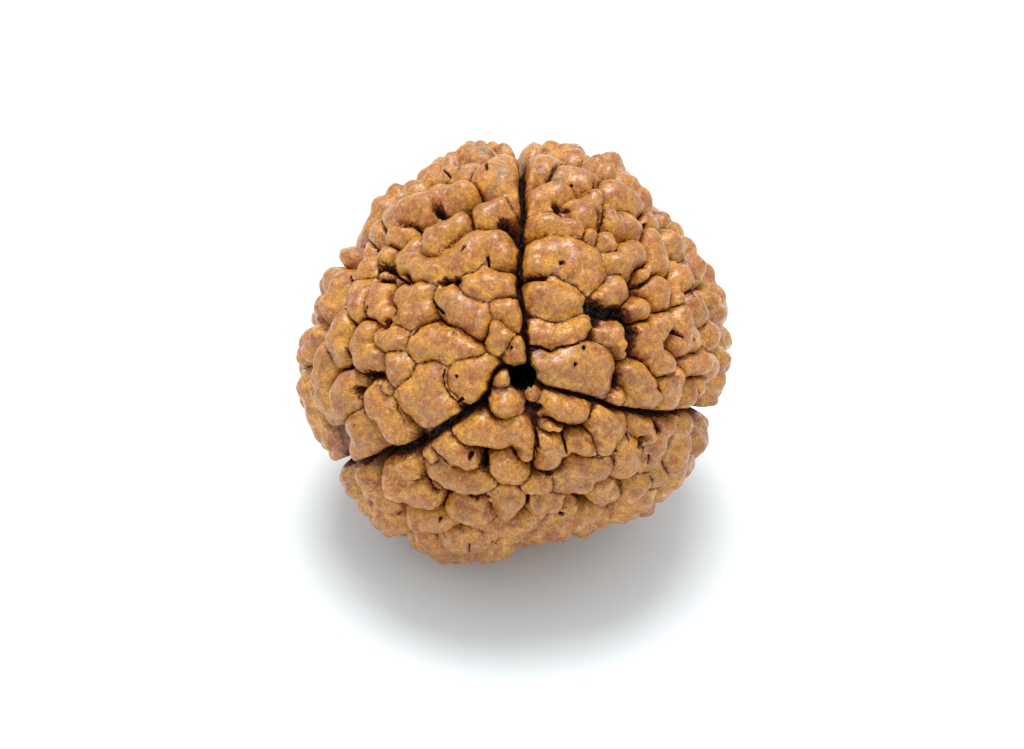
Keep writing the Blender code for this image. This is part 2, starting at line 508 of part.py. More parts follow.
cutter = bore_cutter()
cutter.location = seed.location
cutter.rotation_euler = seed.rotation_euler
bore = seed.modifiers.new("bore", "BOOLEAN")
bore.operation = "DIFFERENCE"
bore.object = cutter
print(f"seed: {len(stone.polygons)} triangles before the bore, middle {stands:.2f} mm up")
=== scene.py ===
# The looks of a three-faced rudraksha stone: a fine knobbly skin over the imported solid, with its cracks,
# pinholes, fibrous furrows painted near black and the drilled mouth, lying on a plain pale floor under a
# soft light.
# Shade is painted into the deep hollows, along and beside the cracks, in the furrows and gaps and inside the
# hole.
#
# The stone is worked out in its own frame, in mm: +Z out of the hole's mouth, +Y up the first furrow,
# +X to the right of someone looking down the hole. A bearing is counted from +X toward +Y, and a fall is
# the angle down from +Z.
import math
import time

import bmesh
import bpy
import numpy as np
from mathutils import Matrix


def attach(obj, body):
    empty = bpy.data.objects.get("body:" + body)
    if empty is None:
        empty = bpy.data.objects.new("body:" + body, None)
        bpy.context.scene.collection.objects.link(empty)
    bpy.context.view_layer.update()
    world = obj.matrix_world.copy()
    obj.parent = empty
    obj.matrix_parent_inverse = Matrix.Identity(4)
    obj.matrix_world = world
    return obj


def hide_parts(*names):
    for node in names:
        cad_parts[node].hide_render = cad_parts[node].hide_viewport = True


started = time.time()
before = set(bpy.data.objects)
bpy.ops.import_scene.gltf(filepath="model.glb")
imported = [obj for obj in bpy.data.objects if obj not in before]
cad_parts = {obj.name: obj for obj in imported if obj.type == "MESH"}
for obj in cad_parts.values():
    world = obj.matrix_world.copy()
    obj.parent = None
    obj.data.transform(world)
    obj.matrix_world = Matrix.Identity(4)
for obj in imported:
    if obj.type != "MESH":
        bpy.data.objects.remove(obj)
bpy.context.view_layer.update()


def stage(text):
    print(f"{time.time() - started:6.1f} s  {text}")


# The stone's form, the same as the solid's.
form = {
    "halfLength": 11.6,  # middle to pole, along the hole
    "outline": {0: 12.0, 30: 11.6, 60: 12.0, 90: 11.9, 120: 11.3, 145: 10.9, 170: 11.7, 190: 12.1, 230: 12.4,
                250: 12.2, 275: 11.2, 295: 11.1, 320: 11.8, 340: 11.7},  # middle to crowns, by bearing
    "rimLumps": {0: .25, 10: .1, 25: .3, 38: 0, 50: -.35, 58: .1, 68: .55, 76: 0, 88: .1, 95: 0, 108: .4,
                 117: .1, 130: .5, 144: -.2, 155: .45, 165: 0, 178: .2, 198: 0, 210: -.4, 220: -.3,
                 230: .15, 246: .1, 256: .5, 267: .1, 281: -.6, 293: .15, 300: -.25, 310: .4, 319: .05,
                 330: .45, 340: .1, 350: 0},  # how far the widest part stands out, by bearing
    "rimLumpSpan": 24,  # how far up and down those lumps reach, in degrees of fall
    "relief": 0.85,  # crown of a nodule down to where it parts from the next
    "dome": 2.8,  # how squarely a nodule is domed
    "blend": 7.0,  # how tightly the humps of one nodule run together
    "spread": 1.08,  # how far humps press past their outlines
    "knobReach": 0.76, "knobFoot": 0.1,  # how much of its hump a knob takes up, and where it levels out
    "pitFloor": -0.45,  # how far below the parting, in reliefs, the gaps go
    "lean": math.radians(54.3),  # the hole's axis away from upright
    "restingNodule": 2.4, "restingLift": 0.55,
    "middleHeight": 11.285,  # the middle of the stone above the floor
    "boreRadius": 0.75,
}

# Nodules that face the mouth, each a chain of round humps (right, up, radius[, sunk]) seen down the hole.
leftLobe = [
    [(-1.25, 3.7, .65, -.1), (-.7, 3.75, .8, -.1), (-.45, 3.2, .65, -.1)],
    [(-2.85, 4.85, .95), (-2.0, 5.05, 1.15), (-1.1, 4.95, 1.0), (-.6, 4.8, .7)],
    [(-4.1, 4.15, .95), (-3.4, 3.65, 1.15), (-2.6, 3.2, 1.05), (-2.35, 2.7, .7)],
    [(-5.6, 1.45, .9), (-5.0, 1.95, 1.15), (-4.1, 1.85, 1.15), (-3.2, 1.55, .85), (-2.5, 1.45, .5)],
    [(-1.45, 2.6, .6), (-1.35, 2.0, .8), (-.9, 2.3, .5)],
    [(-.35, 1.9, .45), (-.35, 1.3, .7), (-.2, .85, .5)],
    [(-3.6, -.2, .8), (-2.8, .1, 1.2), (-2.2, .45, .9), (-2.65, -.8, .95)],
    [(-6.2, -1.3, 1.0), (-5.2, -.3, 1.15), (-5.3, -1.7, 1.25), (-4.5, -1.9, .95)],
    [(-6.65, 4.2, .8), (-5.75, 4.25, .95), (-6.3, 3.3, 1.05), (-5.5, 3.4, .85)],
    [(-7.6, 1.85, .75), (-7.1, 1.7, .9), (-6.7, 1.7, .65)],
    [(-7.05, .5, .85), (-6.65, .35, .75), (-7.1, -.1, .75)],
    [(-7.45, -.8, .45, .1)],
    [(-8.6, 2.1, .8), (-9.0, 1.2, .9), (-8.3, .65, .8), (-8.9, .45, .7)],
    [(-9.9, 2.2, .8), (-10.2, 1.3, .85), (-10.0, .5, .7)],
    [(-9.0, 3.2, .75), (-8.9, 4.0, .8)],
    [(-8.1, 3.6, .95), (-7.8, 4.3, .85), (-7.6, 3.2, .7)],
    [(-7.5, 4.95, .5, .1)],
    [(-6.75, 4.9, .45, .1)],
    [(-6.4, 6.1, .95), (-6.0, 6.7, .75), (-5.7, 5.65, .85), (-5.0, 5.7, .85), (-4.0, 6.05, .95),
     (-3.2, 6.4, 1.0), (-2.7, 7.1, 1.05), (-1.6, 7.2, 1.05), (-1.0, 6.6, .9)],
    [(-5.1, 6.9, .7), (-5.0, 7.4, .8), (-4.3, 7.8, .8), (-3.5, 8.2, .75)],
    [(-2.0, 8.8, .85), (-1.4, 9.05, .8), (-1.1, 9.2, .6)],
    [(-.55, 9.4, .45), (-.8, 10.4, .85), (-1.6, 10.6, .9), (-1.0, 11.2, .8)],
    [(-6.8, 8.1, .7), (-6.1, 8.5, .75), (-5.4, 8.9, .8), (-4.6, 9.3, .8), (-3.7, 9.5, .8), (-3.0, 9.7, .65)],
    [(-7.9, 7.0, .7)],
    [(-6.9, 7.05, .65), (-6.5, 7.2, .6)],
    [(-7.4, 6.2, .6), (-7.6, 5.8, .5)],
    [(-8.5, 6.2, .6), (-8.4, 5.5, .6)],
    [(-2.9, 10.6, .8), (-3.8, 10.3, .6)],
    [(-9.7, -.9, .9), (-9.9, -1.7, .9), (-9.9, -2.4, .7)],
    [(-9.3, -3.5, .85), (-8.9, -4.2, .95), (-8.4, -4.3, .8), (-9.1, -4.9, .7)],
    [(-8.2, -1.5, .75), (-8.2, -2.2, .8), (-7.5, -2.1, .75), (-7.5, -2.9, .9), (-7.1, -3.5, .9)],
    [(-10.9, .2, .7), (-11.0, -.9, .8), (-10.9, -2.3, .75)],
]
rightLobe = [
    [(.95, 4.5, .95, -.12), (1.6, 4.4, 1.1, -.12), (2.3, 4.2, 1.0, -.12), (2.85, 4.0, .7, -.12)],
    [(.8, 2.5, .8), (1.5, 2.3, .75), (2.3, 2.3, .75), (3.0, 2.6, .65), (3.45, 2.9, .45)],
    [(1.2, .8, .85), (1.9, .7, 1.1), (2.8, .5, 1.25), (3.7, .4, 1.3), (4.3, .5, 1.2), (4.2, -.3, .95)],
    [(4.6, 2.45, .65), (5.1, 2.3, .75), (5.5, 1.6, .5), (5.65, 1.1, .35)],
    [(4.4, 4.25, .55), (4.8, 4.5, .8), (5.4, 4.65, .85)],
    [(.8, 6.8, .9), (1.7, 6.9, .95), (2.6, 6.8, .9), (.8, 6.0, .8), (3.0, 6.0, 1.1), (3.6, 6.3, 1.0),
     (3.8, 5.4, 1.0)],
    [(1.0, 8.3, .8), (1.7, 8.2, .8), (2.5, 8.0, .7), (3.0, 7.85, .55)],
    [(3.9, 7.5, .55, .1)],
    [(4.8, 7.2, .65), (5.0, 6.85, .5)],
    [(5.2, 6.1, .8), (5.9, 6.4, .95), (6.5, 6.5, .95), (5.8, 5.8, .7)],
    [(7.4, 4.6, .8), (7.95, 4.4, .95), (7.9, 3.8, .75)],
    [(6.9, 5.25, .55), (7.25, 5.6, .5)],
    [(6.2, 3.5, .7), (6.75, 3.5, .8)],
    [(6.9, 2.1, .9), (7.2, 1.4, .9), (7.7, 2.3, .9), (8.2, 2.6, .7), (7.6, .5, .9), (8.15, .35, .75)],
    [(9.2, 3.0, .55), (9.3, 2.3, .85), (9.3, 1.4, .85), (9.9, 1.5, .75)],
    [(9.9, 3.5, .7), (10.2, 2.8, .7)],
    [(9.2, 4.8, .85), (8.9, 3.8, .55)],
    [(10.9, 1.6, .7)],
    [(9.6, .1, .7), (10.3, .1, .8), (10.8, -.4, .7)],
    [(8.2, -.9, .85), (8.8, -.6, .7), (8.7, -1.5, .85), (8.4, -2.0, .7)],
    [(9.7, -1.8, .75), (10.2, -1.4, .75)],
    [(6.0, .1, .7), (6.5, -.3, .95), (6.9, -.9, 1.0), (6.8, -1.4, .9), (7.5, -1.6, .7)],
    [(5.5, -1.2, .55), (5.05, -1.35, .4)],
    [(.8, 9.5, .7), (1.5, 9.7, .85), (2.2, 9.9, .8)],
    [(3.3, 9.0, .8), (3.9, 8.7, .85), (3.4, 8.6, .7), (4.1, 9.4, .6)],
    [(5.0, 8.4, .75), (5.35, 7.9, .65)],
    [(6.1, 8.2, .8), (6.5, 7.8, .75)],
    [(5.2, 9.6, .75), (5.9, 9.3, .85), (6.7, 8.9, .7)],
    [(1.4, 11.1, .9), (.6, 10.6, .5)],
    [(2.6, 10.7, .8), (3.6, 10.4, .75)],
    [(7.5, 8.1, .7)],
    [(7.6, 7.0, .7), (7.8, 6.4, .85), (8.0, 5.9, .8)],
    [(8.8, 6.7, .7)],
]
lowerLobe = [
    [(-1.15, -.15, .55, .2)],
    [(-.97, -1.6, .9, -.12)],
    [(.5, -.95, .5, .25)],
    [(1.75, -1.6, .9, -.12), (2.5, -1.95, 1.0, -.12), (3.05, -2.1, .95, -.12)],
    [(1.6, -2.7, .55, .2), (2.1, -2.85, .45, .2)],
    [(-3.0, -3.4, .85), (-2.2, -3.1, 1.1), (-1.3, -3.3, 1.05), (-.4, -3.1, .9), (.1, -3.7, .8),
     (.2, -4.5, .65)],
    [(1.5, -3.9, .9), (1.5, -4.8, .9), (2.3, -4.3, .6), (3.0, -3.9, .8), (3.5, -4.2, .7)],
    [(4.2, -2.5, .8), (4.9, -2.9, .9), (5.5, -3.2, .8), (4.7, -3.8, .75)],
    [(3.4, -5.5, 1.0), (4.3, -5.6, 1.0), (2.7, -6.4, .9), (3.6, -6.6, .8)],
    [(5.9, -4.6, .9), (6.1, -5.4, 1.0), (5.7, -5.6, .8)],
    [(6.9, -3.0, .8), (7.3, -3.7, .6)],
    [(8.4, -3.5, .75), (7.9, -4.5, .9), (7.5, -5.3, .8)],
    [(9.5, -3.5, .7), (9.4, -4.7, .8), (8.8, -5.8, .7)],
    [(7.9, -6.5, .7)],
    [(7.0, -6.9, .7), (6.3, -7.2, .75)],
    [(4.6, -6.9, .9), (5.1, -7.2, .75), (4.6, -7.6, .6)],
    [(-1.05, -4.9, .9), (-.75, -5.3, .95), (-.4, -5.5, .8)],
    [(-4.3, -4.1, .75), (-3.6, -4.5, .95), (-2.9, -4.9, .75)],
    [(-5.3, -4.6, .45, .1), (-4.95, -4.9, .45, .1)],
    [(-4.7, -5.6, .85), (-4.0, -6.0, .95), (-3.2, -6.3, .95), (-2.4, -6.2, .95)],
    [(-6.6, -5.3, .65), (-6.2, -5.65, .7)],
    [(-7.3, -6.4, .75), (-6.9, -7.0, .9), (-6.0, -7.3, 1.0), (-5.2, -7.4, .85)],
    [(-3.5, -8.0, .85), (-2.8, -8.3, .9), (-2.2, -8.6, .7)],
    [(-1.0, -7.2, .85), (-.5, -7.5, .85), (-.8, -8.0, .75)],
    [(.6, -6.5, .6), (1.3, -6.6, .75)],
    [(1.2, -7.7, .85), (1.9, -7.8, .8)],
    [(2.9, -7.9, .6)],
    [(.6, -8.9, .8), (-.3, -9.3, .8), (-1.3, -9.3, .8)],
    [(1.9, -9.2, .8), (3.2, -9.0, .85), (4.2, -8.7, .7)],
    [(-3.4, -10.4, .8), (-2.4, -10.4, .8)],
    [(-5.6, -8.9, .75), (-4.7, -9.1, .85)],
    [(-8.7, -6.5, .7), (-8.3, -7.3, .75), (-7.6, -8.1, .7)],
]

# Furrows, from the mouth outward: (right, up, half width), then (bearing, fall, half width) at the far side.
furrowLines = [
    ([(.33, .9, .1), (.3, 1.5, .12), (.2, 2.0, .12), (.05, 2.5, .15), (.1, 3.0, .15), (.1, 3.6, .15),
      (-.02, 4.2, .15), (-.13, 5.0, .15), (-.1, 6.0, .14), (0, 8.0, .16), (.19, 10.0, .17),
      (.21, 11.0, .17)],
     [(89, 90, .18), (91, 110, .15), (88, 130, .16), (92, 150, .15), (84, 172, .12)]),
    ([(-.75, .5, .12), (-1.1, .55, .14), (-1.5, .15, .13), (-1.72, -.4, .1), (-1.85, -.9, .14),
      (-2.3, -1.45, .2), (-3.05, -2.1, .2), (-3.95, -2.75, .22), (-5.0, -3.55, .25), (-6.05, -4.35, .3),
      (-7.6, -4.95, .3), (-8.1, -5.35, .25), (-8.75, -5.55, .14), (-9.3, -5.8, .12)],
     [(213, 90, .14), (216, 112, .16), (211, 132, .14), (215, 152, .16), (205, 172, .12)]),
    ([(.8, -.25, .1), (1.25, -.6, .12), (1.8, -.75, .12), (2.5, -.93, .12), (3.25, -1.15, .13),
      (4.4, -1.5, .15), (5.2, -1.9, .17), (6.0, -2.15, .17), (7.65, -2.5, .18), (8.45, -2.68, .18),
      (9.3, -2.72, .15), (9.8, -2.75, .13)],
     [(343, 90, .14), (340, 112, .15), (344, 132, .14), (337, 152, .15), (346, 172, .12)]),
]

# Open gaps wider than the partings between nodules: points and half width.
openGaps = [
    ([(3.75, 3.75), (4.5, 3.5), (5.3, 3.4)], .42), ([(5.7, 3.0), (6.15, 2.2), (6.05, 1.1)], .25),
    ([(4.3, 3.4), (4.0, 2.9)], .2), ([(.15, -1.6), (.8, -1.85)], .22), ([(1.0, -5.65), (1.7, -5.8)], .16),
    ([(-2.1, -4.7), (-1.95, -5.35)], .18), ([(-4.45, -6.7), (-4.2, -7.1)], .2),
    ([(-5.45, -6.0), (-5.35, -6.4)], .14), ([(-2.7, -7.2), (-2.0, -7.35)], .15),
    ([(3.4, -7.35), (3.6, -7.75), (4.3, -8.0)], .16), ([(2.1, 9.15), (2.7, 8.85)], .16),
    ([(-1.1, 8.4), (-.4, 8.5)], .18), ([(-4.7, 8.85), (-4.1, 8.6)], .18),
    ([(-6.4, 7.65), (-5.65, 7.75)], .16), ([(-7.9, 5.4), (-7.1, 5.45)], .16),
    ([(-4.4, 5.05), (-3.65, 5.1)], .16), ([(-7.45, 2.65), (-7.5, 2.45)], .16),
    ([(-8.9, -.4), (-7.85, -.4)], .16), ([(-9.1, -1.25), (-8.85, -2.3)], .2),
    ([(6.85, -3.75), (6.7, -4.25)], .12), ([(-1.05, .6), (-1.15, .5)], .14),
    ([(6.25, 5.4), (6.35, 5.0)], .14), ([(4.35, 8.1), (4.3, 8.5)], .12),
    ([(5.3, -.1), (5.35, -.6)], .14), ([(.5, 5.4), (1.25, 5.42)], .11),
]

# Fine slits across the nodules that face the mouth: half width at each end, then points.
slits = [
    (.04, .08, [(-5.0, 4.1), (-4.8, 3.75), (-4.4, 3.4)]),
    (.03, .03, [(-4.3, .3), (-4.4, -.1), (-4.3, -.7), (-4.0, -1.15), (-3.6, -1.45), (-3.4, -2.1)]),
    (.1, .06, [(-3.3, -1.25), (-3.6, -1.5)]), (.08, .05, [(-1.9, 6.45), (-1.85, 6.0)]),
    (.06, .04, [(-3.05, 6.7), (-3.2, 6.5)]), (.06, .04, [(-1.75, 10.8), (-1.75, 10.5)]),
    (.05, .05, [(-3.2, 10.9), (-3.2, 10.4)]), (.05, .05, [(-4.3, 10.3), (-3.7, 10.1)]),
    (.06, .05, [(8.05, 1.35), (8.05, 1.2)]), (.03, .03, [(8.05, 1.2), (8.45, 1.05), (8.75, .6)]),
    (.12, .08, [(8.7, 2.05), (8.95, 1.7)]), (.06, .05, [(9.5, 4.3), (9.6, 3.7)]),
    (.04, .04, [(9.6, 4.05), (10.1, 4.0)]), (.06, .05, [(9.95, -1.4), (9.85, -1.9)]),
    (.06, .05, [(4.15, 9.95), (4.3, 9.65)]), (.12, .08, [(.5, 5.35), (1.3, 5.45)]),
    (.09, .07, [(.35, 1.7), (1.0, 1.65), (1.55, 1.4)]), (.04, .03, [(1.6, 1.4), (2.1, 1.65), (3.1, 1.8)]),
    (.03, .03, [(7.7, 5.4), (6.8, 4.65)]), (.03, .03, [(5.35, 3.45), (5.85, 4.0)]),
    (.05, .05, [(4.7, 9.1), (5.7, 8.5)]), (.03, .03, [(3.05, 9.75), (3.8, 9.5)]),
    (.08, .06, [(.75, -3.15), (.9, -3.9)]), (.06, .03, [(.9, -3.9), (.68, -4.35), (.65, -5.3)]),
    (.07, .05, [(2.3, -3.35), (2.4, -4.2)]), (.03, .03, [(3.3, -4.7), (4.5, -4.75)]),
    (.1, .06, [(5.05, -4.3), (5.3, -4.4)]), (.03, .03, [(5.15, -4.6), (5.2, -5.2)]),
    (.06, .06, [(7.85, -3.2), (7.85, -3.7)]), (.04, .04, [(6.05, -3.6), (6.05, -3.9)]),
    (.05, .05, [(7.3, -4.95), (7.2, -5.35)]), (.04, .04, [(5.7, -6.45), (5.65, -6.8)]),
    (.12, .08, [(.45, -7.05), (.4, -7.6)]), (.07, .05, [(-.6, -4.1), (-.35, -4.6)]),
    (.04, .03, [(-.35, -4.6), (.35, -5.2)]), (.06, .05, [(-4.85, -4.35), (-4.1, -4.95)]),
    (.06, .03, [(-5.35, -6.5), (-4.65, -7.0)]), (.1, .07, [(-4.75, -7.9), (-4.35, -7.75)]),
    (.1, .06, [(-3.8, -9.55), (-2.55, -9.6)]), (.03, .03, [(-2.7, -10.1), (-2.6, -10.6)]),
    (.03, .03, [(-5.1, -9.7), (-4.1, -10)]), (.03, .03, [(-7.9, -6.7), (-7.7, -7.1)]),
    (.06, .04, [(-8.15, -2.85), (-8.0, -3.5), (-7.75, -4.0), (-7.35, -4.35)]),
    (.06, .05, [(-7.0, -1.85), (-6.95, -2.15)]), (.03, .03, [(-6.95, -2.15), (-6.6, -2.85)]),
    (.1, .06, [(-10.4, -.45), (-9.5, -.1)]), (.07, .05, [(-9.65, 1.0), (-9.6, .5)]),
    (.1, .06, [(-9.0, 2.3), (-8.35, 3.3)]), (.07, .05, [(-6.0, 2.15), (-5.85, 2.45)]),
    (.04, .03, [(-7.55, 6.6), (-7.7, 6.25)]), (.1, .08, [(-4.1, 8.65), (-2.9, 8.9)]),
    (.1, .05, [(-6.95, 5.15), (-6.2, 4.75)]), (.05, .04, [(-9.45, 4.7), (-9.4, 4.4)]),
]

# Pinholes and small round pits: (right, up, radius).
pinholes = [
    (-1.95, 2.35, .12), (-3.75, 2.35, .06), (-3.55, 0, .07), (-4.3, -.25, .08), (-.65, 1.65, .13),
    (2.75, .7, .12), (3.3, 1.6, .13), (2.1, 6.05, .16), (9.5, 1.5, .07), (2.95, 10.15, .08),
    (6.75, 7.4, .14), (7.15, 7.85, .13), (8.95, 5.55, .14), (3.95, -4.7, .08), (7.4, -6.15, .08),
    (5.05, -6.05, .08), (9.5, -3.85, .08), (5.6, -7.85, .08), (2.45, -8.55, .12), (-1.45, -10.35, .1),
    (-7.75, -6.4, .08), (-9.45, -2.75, .05), (-9.1, -3.2, .05), (-2.75, -4.4, .12), (-9.6, 3.1, .15),
    (-7.45, 2.55, .2), (-4.4, -8.6, .12),
]

# What the skin has beyond the solid.
skin = {
    "plateFlatness": 0.55,  # 0 keeps the nodules round domes, 1 presses them into flat plates
    "rimFrom": 5.0, "rimTo": 10.0,  # mm off the hole's axis where the plates turn into domes
    "rimFlatness": 0.35, "rimDeeper": 0.15,
    "openLeast": 0.16, "openRim": 0.24, "openPatches": 1.5,  # how open the partings are, 0 to 1
    "pressed": 0.25,  # how deep, in reliefs, the nodules part where they are pressed tightest
    "pressedOpen": 1.1, "pressedRim": 0.15,  # how much deeper they part where it is open, and at the rim
    "knobHeight": 0.36,
    "swells": ((0.22, 1.5, 4), (0.12, 0.8, 6), (0.035, 0.42, 8), (0.014, 0.2, 7)),  # height, length, seed
    "swellsInPits": 0.4,
    "lipDepth": 0.14, "lipReach": 0.16,  # the worn edge of the drilled mouth
    "crackDepth": (0.07, 0.34), "crackReach": (0.05, 0.12),  # tight partings, open partings
    "shoulderDrop": (0.03, 0.13), "shoulderReach": 0.36,
    "furrowShoulder": 0.4, "furrowFloor": -0.75, "furrowSteepness": 9,
    "notch": 0.4, "notchReach": 0.8,  # how far the outline dips at a furrow
    "gapShoulder": 0.3, "gapFloor": -0.6, "gapSteepness": 6,
    "slitDepth": 0.34, "pinDepth": 0.5,
    "straying": 0.14, "raggedFurrow": 0.05, "raggedGap": 0.1, "raggedPin": 0.09,  # mm off their lines
    "fineEdge": 0.103, "broadEdge": 0.28,  # triangle sides along creases and over crowns, on the near side
    "slitEdge": 0.058,  # beside slits and pinholes
    "farCoarser": 2.5,  # the side away from the mouth is this much coarser
    "fineWithin": 0.09, "broadBeyond": 0.42,  # mm from a crease
}


def roundTheStone(table, bearing):
    # a smooth curve through a table of bearings and values
    keys = np.array(list(table), float)
    reach = np.array(list(table.values()))
    keys, reach = np.concatenate([keys - 360, keys, keys + 360]), np.tile(reach, 3)
    slope = np.gradient(reach, keys)
    bearing = np.asarray(bearing, float) % 360
    i = np.searchsorted(keys, bearing, side="right")
    span = keys[i] - keys[i - 1]
    t = (bearing - keys[i - 1]) / span
    return ((2 * t**3 - 3 * t**2 + 1) * reach[i - 1] + (t**3 - 2 * t**2 + t) * span * slope[i - 1]
            + (3 * t**2 - 2 * t**3) * reach[i] + (t**3 - t**2) * span * slope[i])


def bearingAndFall(points):
    bearing = np.degrees(np.arctan2(points[:, 1], points[:, 0])) % 360
    return bearing, np.degrees(np.arctan2(np.hypot(points[:, 0], points[:, 1]), points[:, 2]))


def ontoEnvelope(points):
    # along their own direction onto the smooth surface that the crowns touch
    side = np.hypot(points[:, 0], points[:, 1])
    reach = roundTheStone(form["outline"], np.degrees(np.arctan2(points[:, 1], points[:, 0])))
    return points / np.sqrt((side / reach) ** 2 + (points[:, 2] / form["halfLength"]) ** 2)[:, None]


def facingMouth(right, up):
    reach = float(roundTheStone(form["outline"], math.degrees(math.atan2(up, right))))
    rise = form["halfLength"] * math.sqrt(max(0.0, 1 - (right * right + up * up) / reach**2))
    return np.array([right, up, rise])


def softNoise(points, wavelength, seed):
    size = 24
    values = np.random.default_rng(seed).uniform(-1, 1, (size, size, size))
    cell = points / wavelength
    low = np.floor(cell).astype(int)
    part = cell - low
    part = part * part * (3 - 2 * part)
    total = np.zeros(len(points))
    for corner in range(8):
        step = np.array([corner & 1, corner >> 1 & 1, corner >> 2])
        i, j, k = ((low + step) % size).T
        total += np.prod(np.where(step, part, 1 - part), axis=1) * values[i, j, k]
    return total


def furrowCourses():
    # for each furrow its falls, bearings and half widths, mouth to far pole
    courses = []
    for front, back in furrowLines:
        bearing, fall = bearingAndFall(np.array([facingMouth(right, up) for right, up, _ in front]))
        bearing = np.concatenate([bearing, [b for b, _, _ in back]])
        bearing = np.degrees(np.unwrap(np.radians(bearing)))
        fall = np.concatenate([fall, [f for _, f, _ in back]])
        half = np.array([w for _, _, w in front] + [w for _, _, w in back])
        courses.append((fall, bearing, half))
    return courses


def lobesAndFurrows(points, courses):
    # the lobe each point is on, and its distance from the nearest furrow's middle and edge
    bearing, fall = bearingAndFall(points)
    offAxis = np.linalg.norm(points, axis=1) * np.sin(np.radians(fall))
    middles, nearest, edge = [], np.full(len(points), 99.0), np.full(len(points), 99.0)
    for falls, bearings, halves in courses:
        middle = np.interp(fall, falls, bearings)
        ahead = np.interp(fall + 0.5, falls, bearings)
        slant = np.radians(ahead - middle) * offAxis / (12 * math.radians(0.5))
        across = np.radians((bearing - middle + 180) % 360 - 180) * offAxis / np.sqrt(1 + slant**2)
        nearest = np.minimum(nearest, np.abs(across))
        edge = np.minimum(edge, np.abs(across) - np.interp(fall, falls, halves))
        middles.append(middle)
    pastFirst = (bearing - middles[0]) % 360
    pastSecond = (bearing - middles[1]) % 360
    lobe = np.ones(len(points), int)
    lobe[pastSecond < (middles[2] - middles[1]) % 360] = 2
    lobe[pastFirst < (middles[1] - middles[0]) % 360] = 0
    return lobe, nearest, edge


def facingNodules():
    # humps that face the mouth: (place, radius, sunk, nodule, lobe)
    humps, nodule = [], 0
    for lobe, chains in enumerate((leftLobe, rightLobe, lowerLobe)):
        for chain in chains:
            for right, up, radius, *sunk in chain:
                place = facingMouth(right, up)
                liesAway = 1 / max(place[2] / np.linalg.norm(place), 0.35) - 1
                radius *= form["spread"] * (1 + 0.45 * liesAway)
                humps.append((place, radius, sum(sunk), nodule, lobe))
            nodule += 1
    return humps


# The nodules away from the mouth, clusters of humps by rule.
farSide = {
    "seed": 11,
    "throws": ((1.3, 500), (1.1, 900), (0.9, 2500)),  # a first hump's size and how many are tried
    "sizes": (0.9, 1.1), "nextSizes": (0.8, 1.05),  # shares of that size, and of the hump grown from
    "apart": 0.84, "nextApart": 0.8, "withinCluster": 0.7,  # least distances, in radii
    "furrowClear": 0.35, "nextFurrowClear": 0.2,
    "tries": 7, "most": 5,  # humps tried and kept for one cluster
    "uneven": 0.05,  # how far their heights vary
}


def farNodules(humps, courses):
    # the big ones first, and the very first a lone one where the stone rests
    rng = np.random.default_rng(farSide["seed"])
    places = [place for place, *_ in humps]
    radii = [radius for _, radius, *_ in humps]
    nodule = humps[-1][3] + 1
    lean = form["lean"]
    resting = ontoEnvelope(np.array([[0.025, -math.sin(lean), -math.cos(lean)]]))[0]
    darts = [(resting, form["restingNodule"])]
    for size, count in farSide["throws"]:
        thrown = rng.normal(size=(count, 3))
        darts += [(place, size * rng.uniform(*farSide["sizes"])) for place in ontoEnvelope(thrown)]
    added = []
    for place, size in darts:
        lobe, _, furrow = lobesAndFurrows(place[None], courses)
        others, otherRadii = np.array(places), np.array(radii)
        clear = np.linalg.norm(others - place, axis=1) - farSide["apart"] * (otherRadii + size)
        if furrow[0] < farSide["furrowClear"] * size or clear.min() < 0:
            continue
        cluster = [(place, size)]
        for _ in range(0 if place is resting else farSide["tries"]):
            start, radius = cluster[rng.integers(len(cluster))]
            heading = np.cross(start, rng.normal(size=3))
            heading /= np.linalg.norm(heading)
            onward = ontoEnvelope((start + radius * heading)[None])[0]
            radius *= rng.uniform(*farSide["nextSizes"])
            clear = np.linalg.norm(others - onward, axis=1) - farSide["nextApart"] * (otherRadii + radius)
            own = np.linalg.norm(np.array([other for other, _ in cluster]) - onward, axis=1)
            sameLobe, _, furrow = lobesAndFurrows(onward[None], courses)
            fits = min(clear.min(), furrow[0] - farSide["nextFurrowClear"] * radius,
                       own.min() - farSide["withinCluster"] * radius) > 0
            if fits and sameLobe[0] == lobe[0] and len(cluster) < farSide["most"]:
                cluster.append((onward, radius))
        for where, radius in cluster:
            places.append(where)
            radii.append(radius)
            sunk = -form["restingLift"] if where is resting else max(0.0, rng.normal(0, farSide["uneven"]))
            added.append((where, radius, sunk, nodule, int(lobe[0])))
        nodule += 1
    return added


def spreadDirections(count):
    # directions spread evenly round a ball
    turn = np.arange(count) * math.pi * (3 - math.sqrt(5))
    z = 1 - (2 * np.arange(count) + 1) / count
    return np.stack([np.cos(turn) * np.sqrt(1 - z * z), np.sin(turn) * np.sqrt(1 - z * z), z], axis=1)


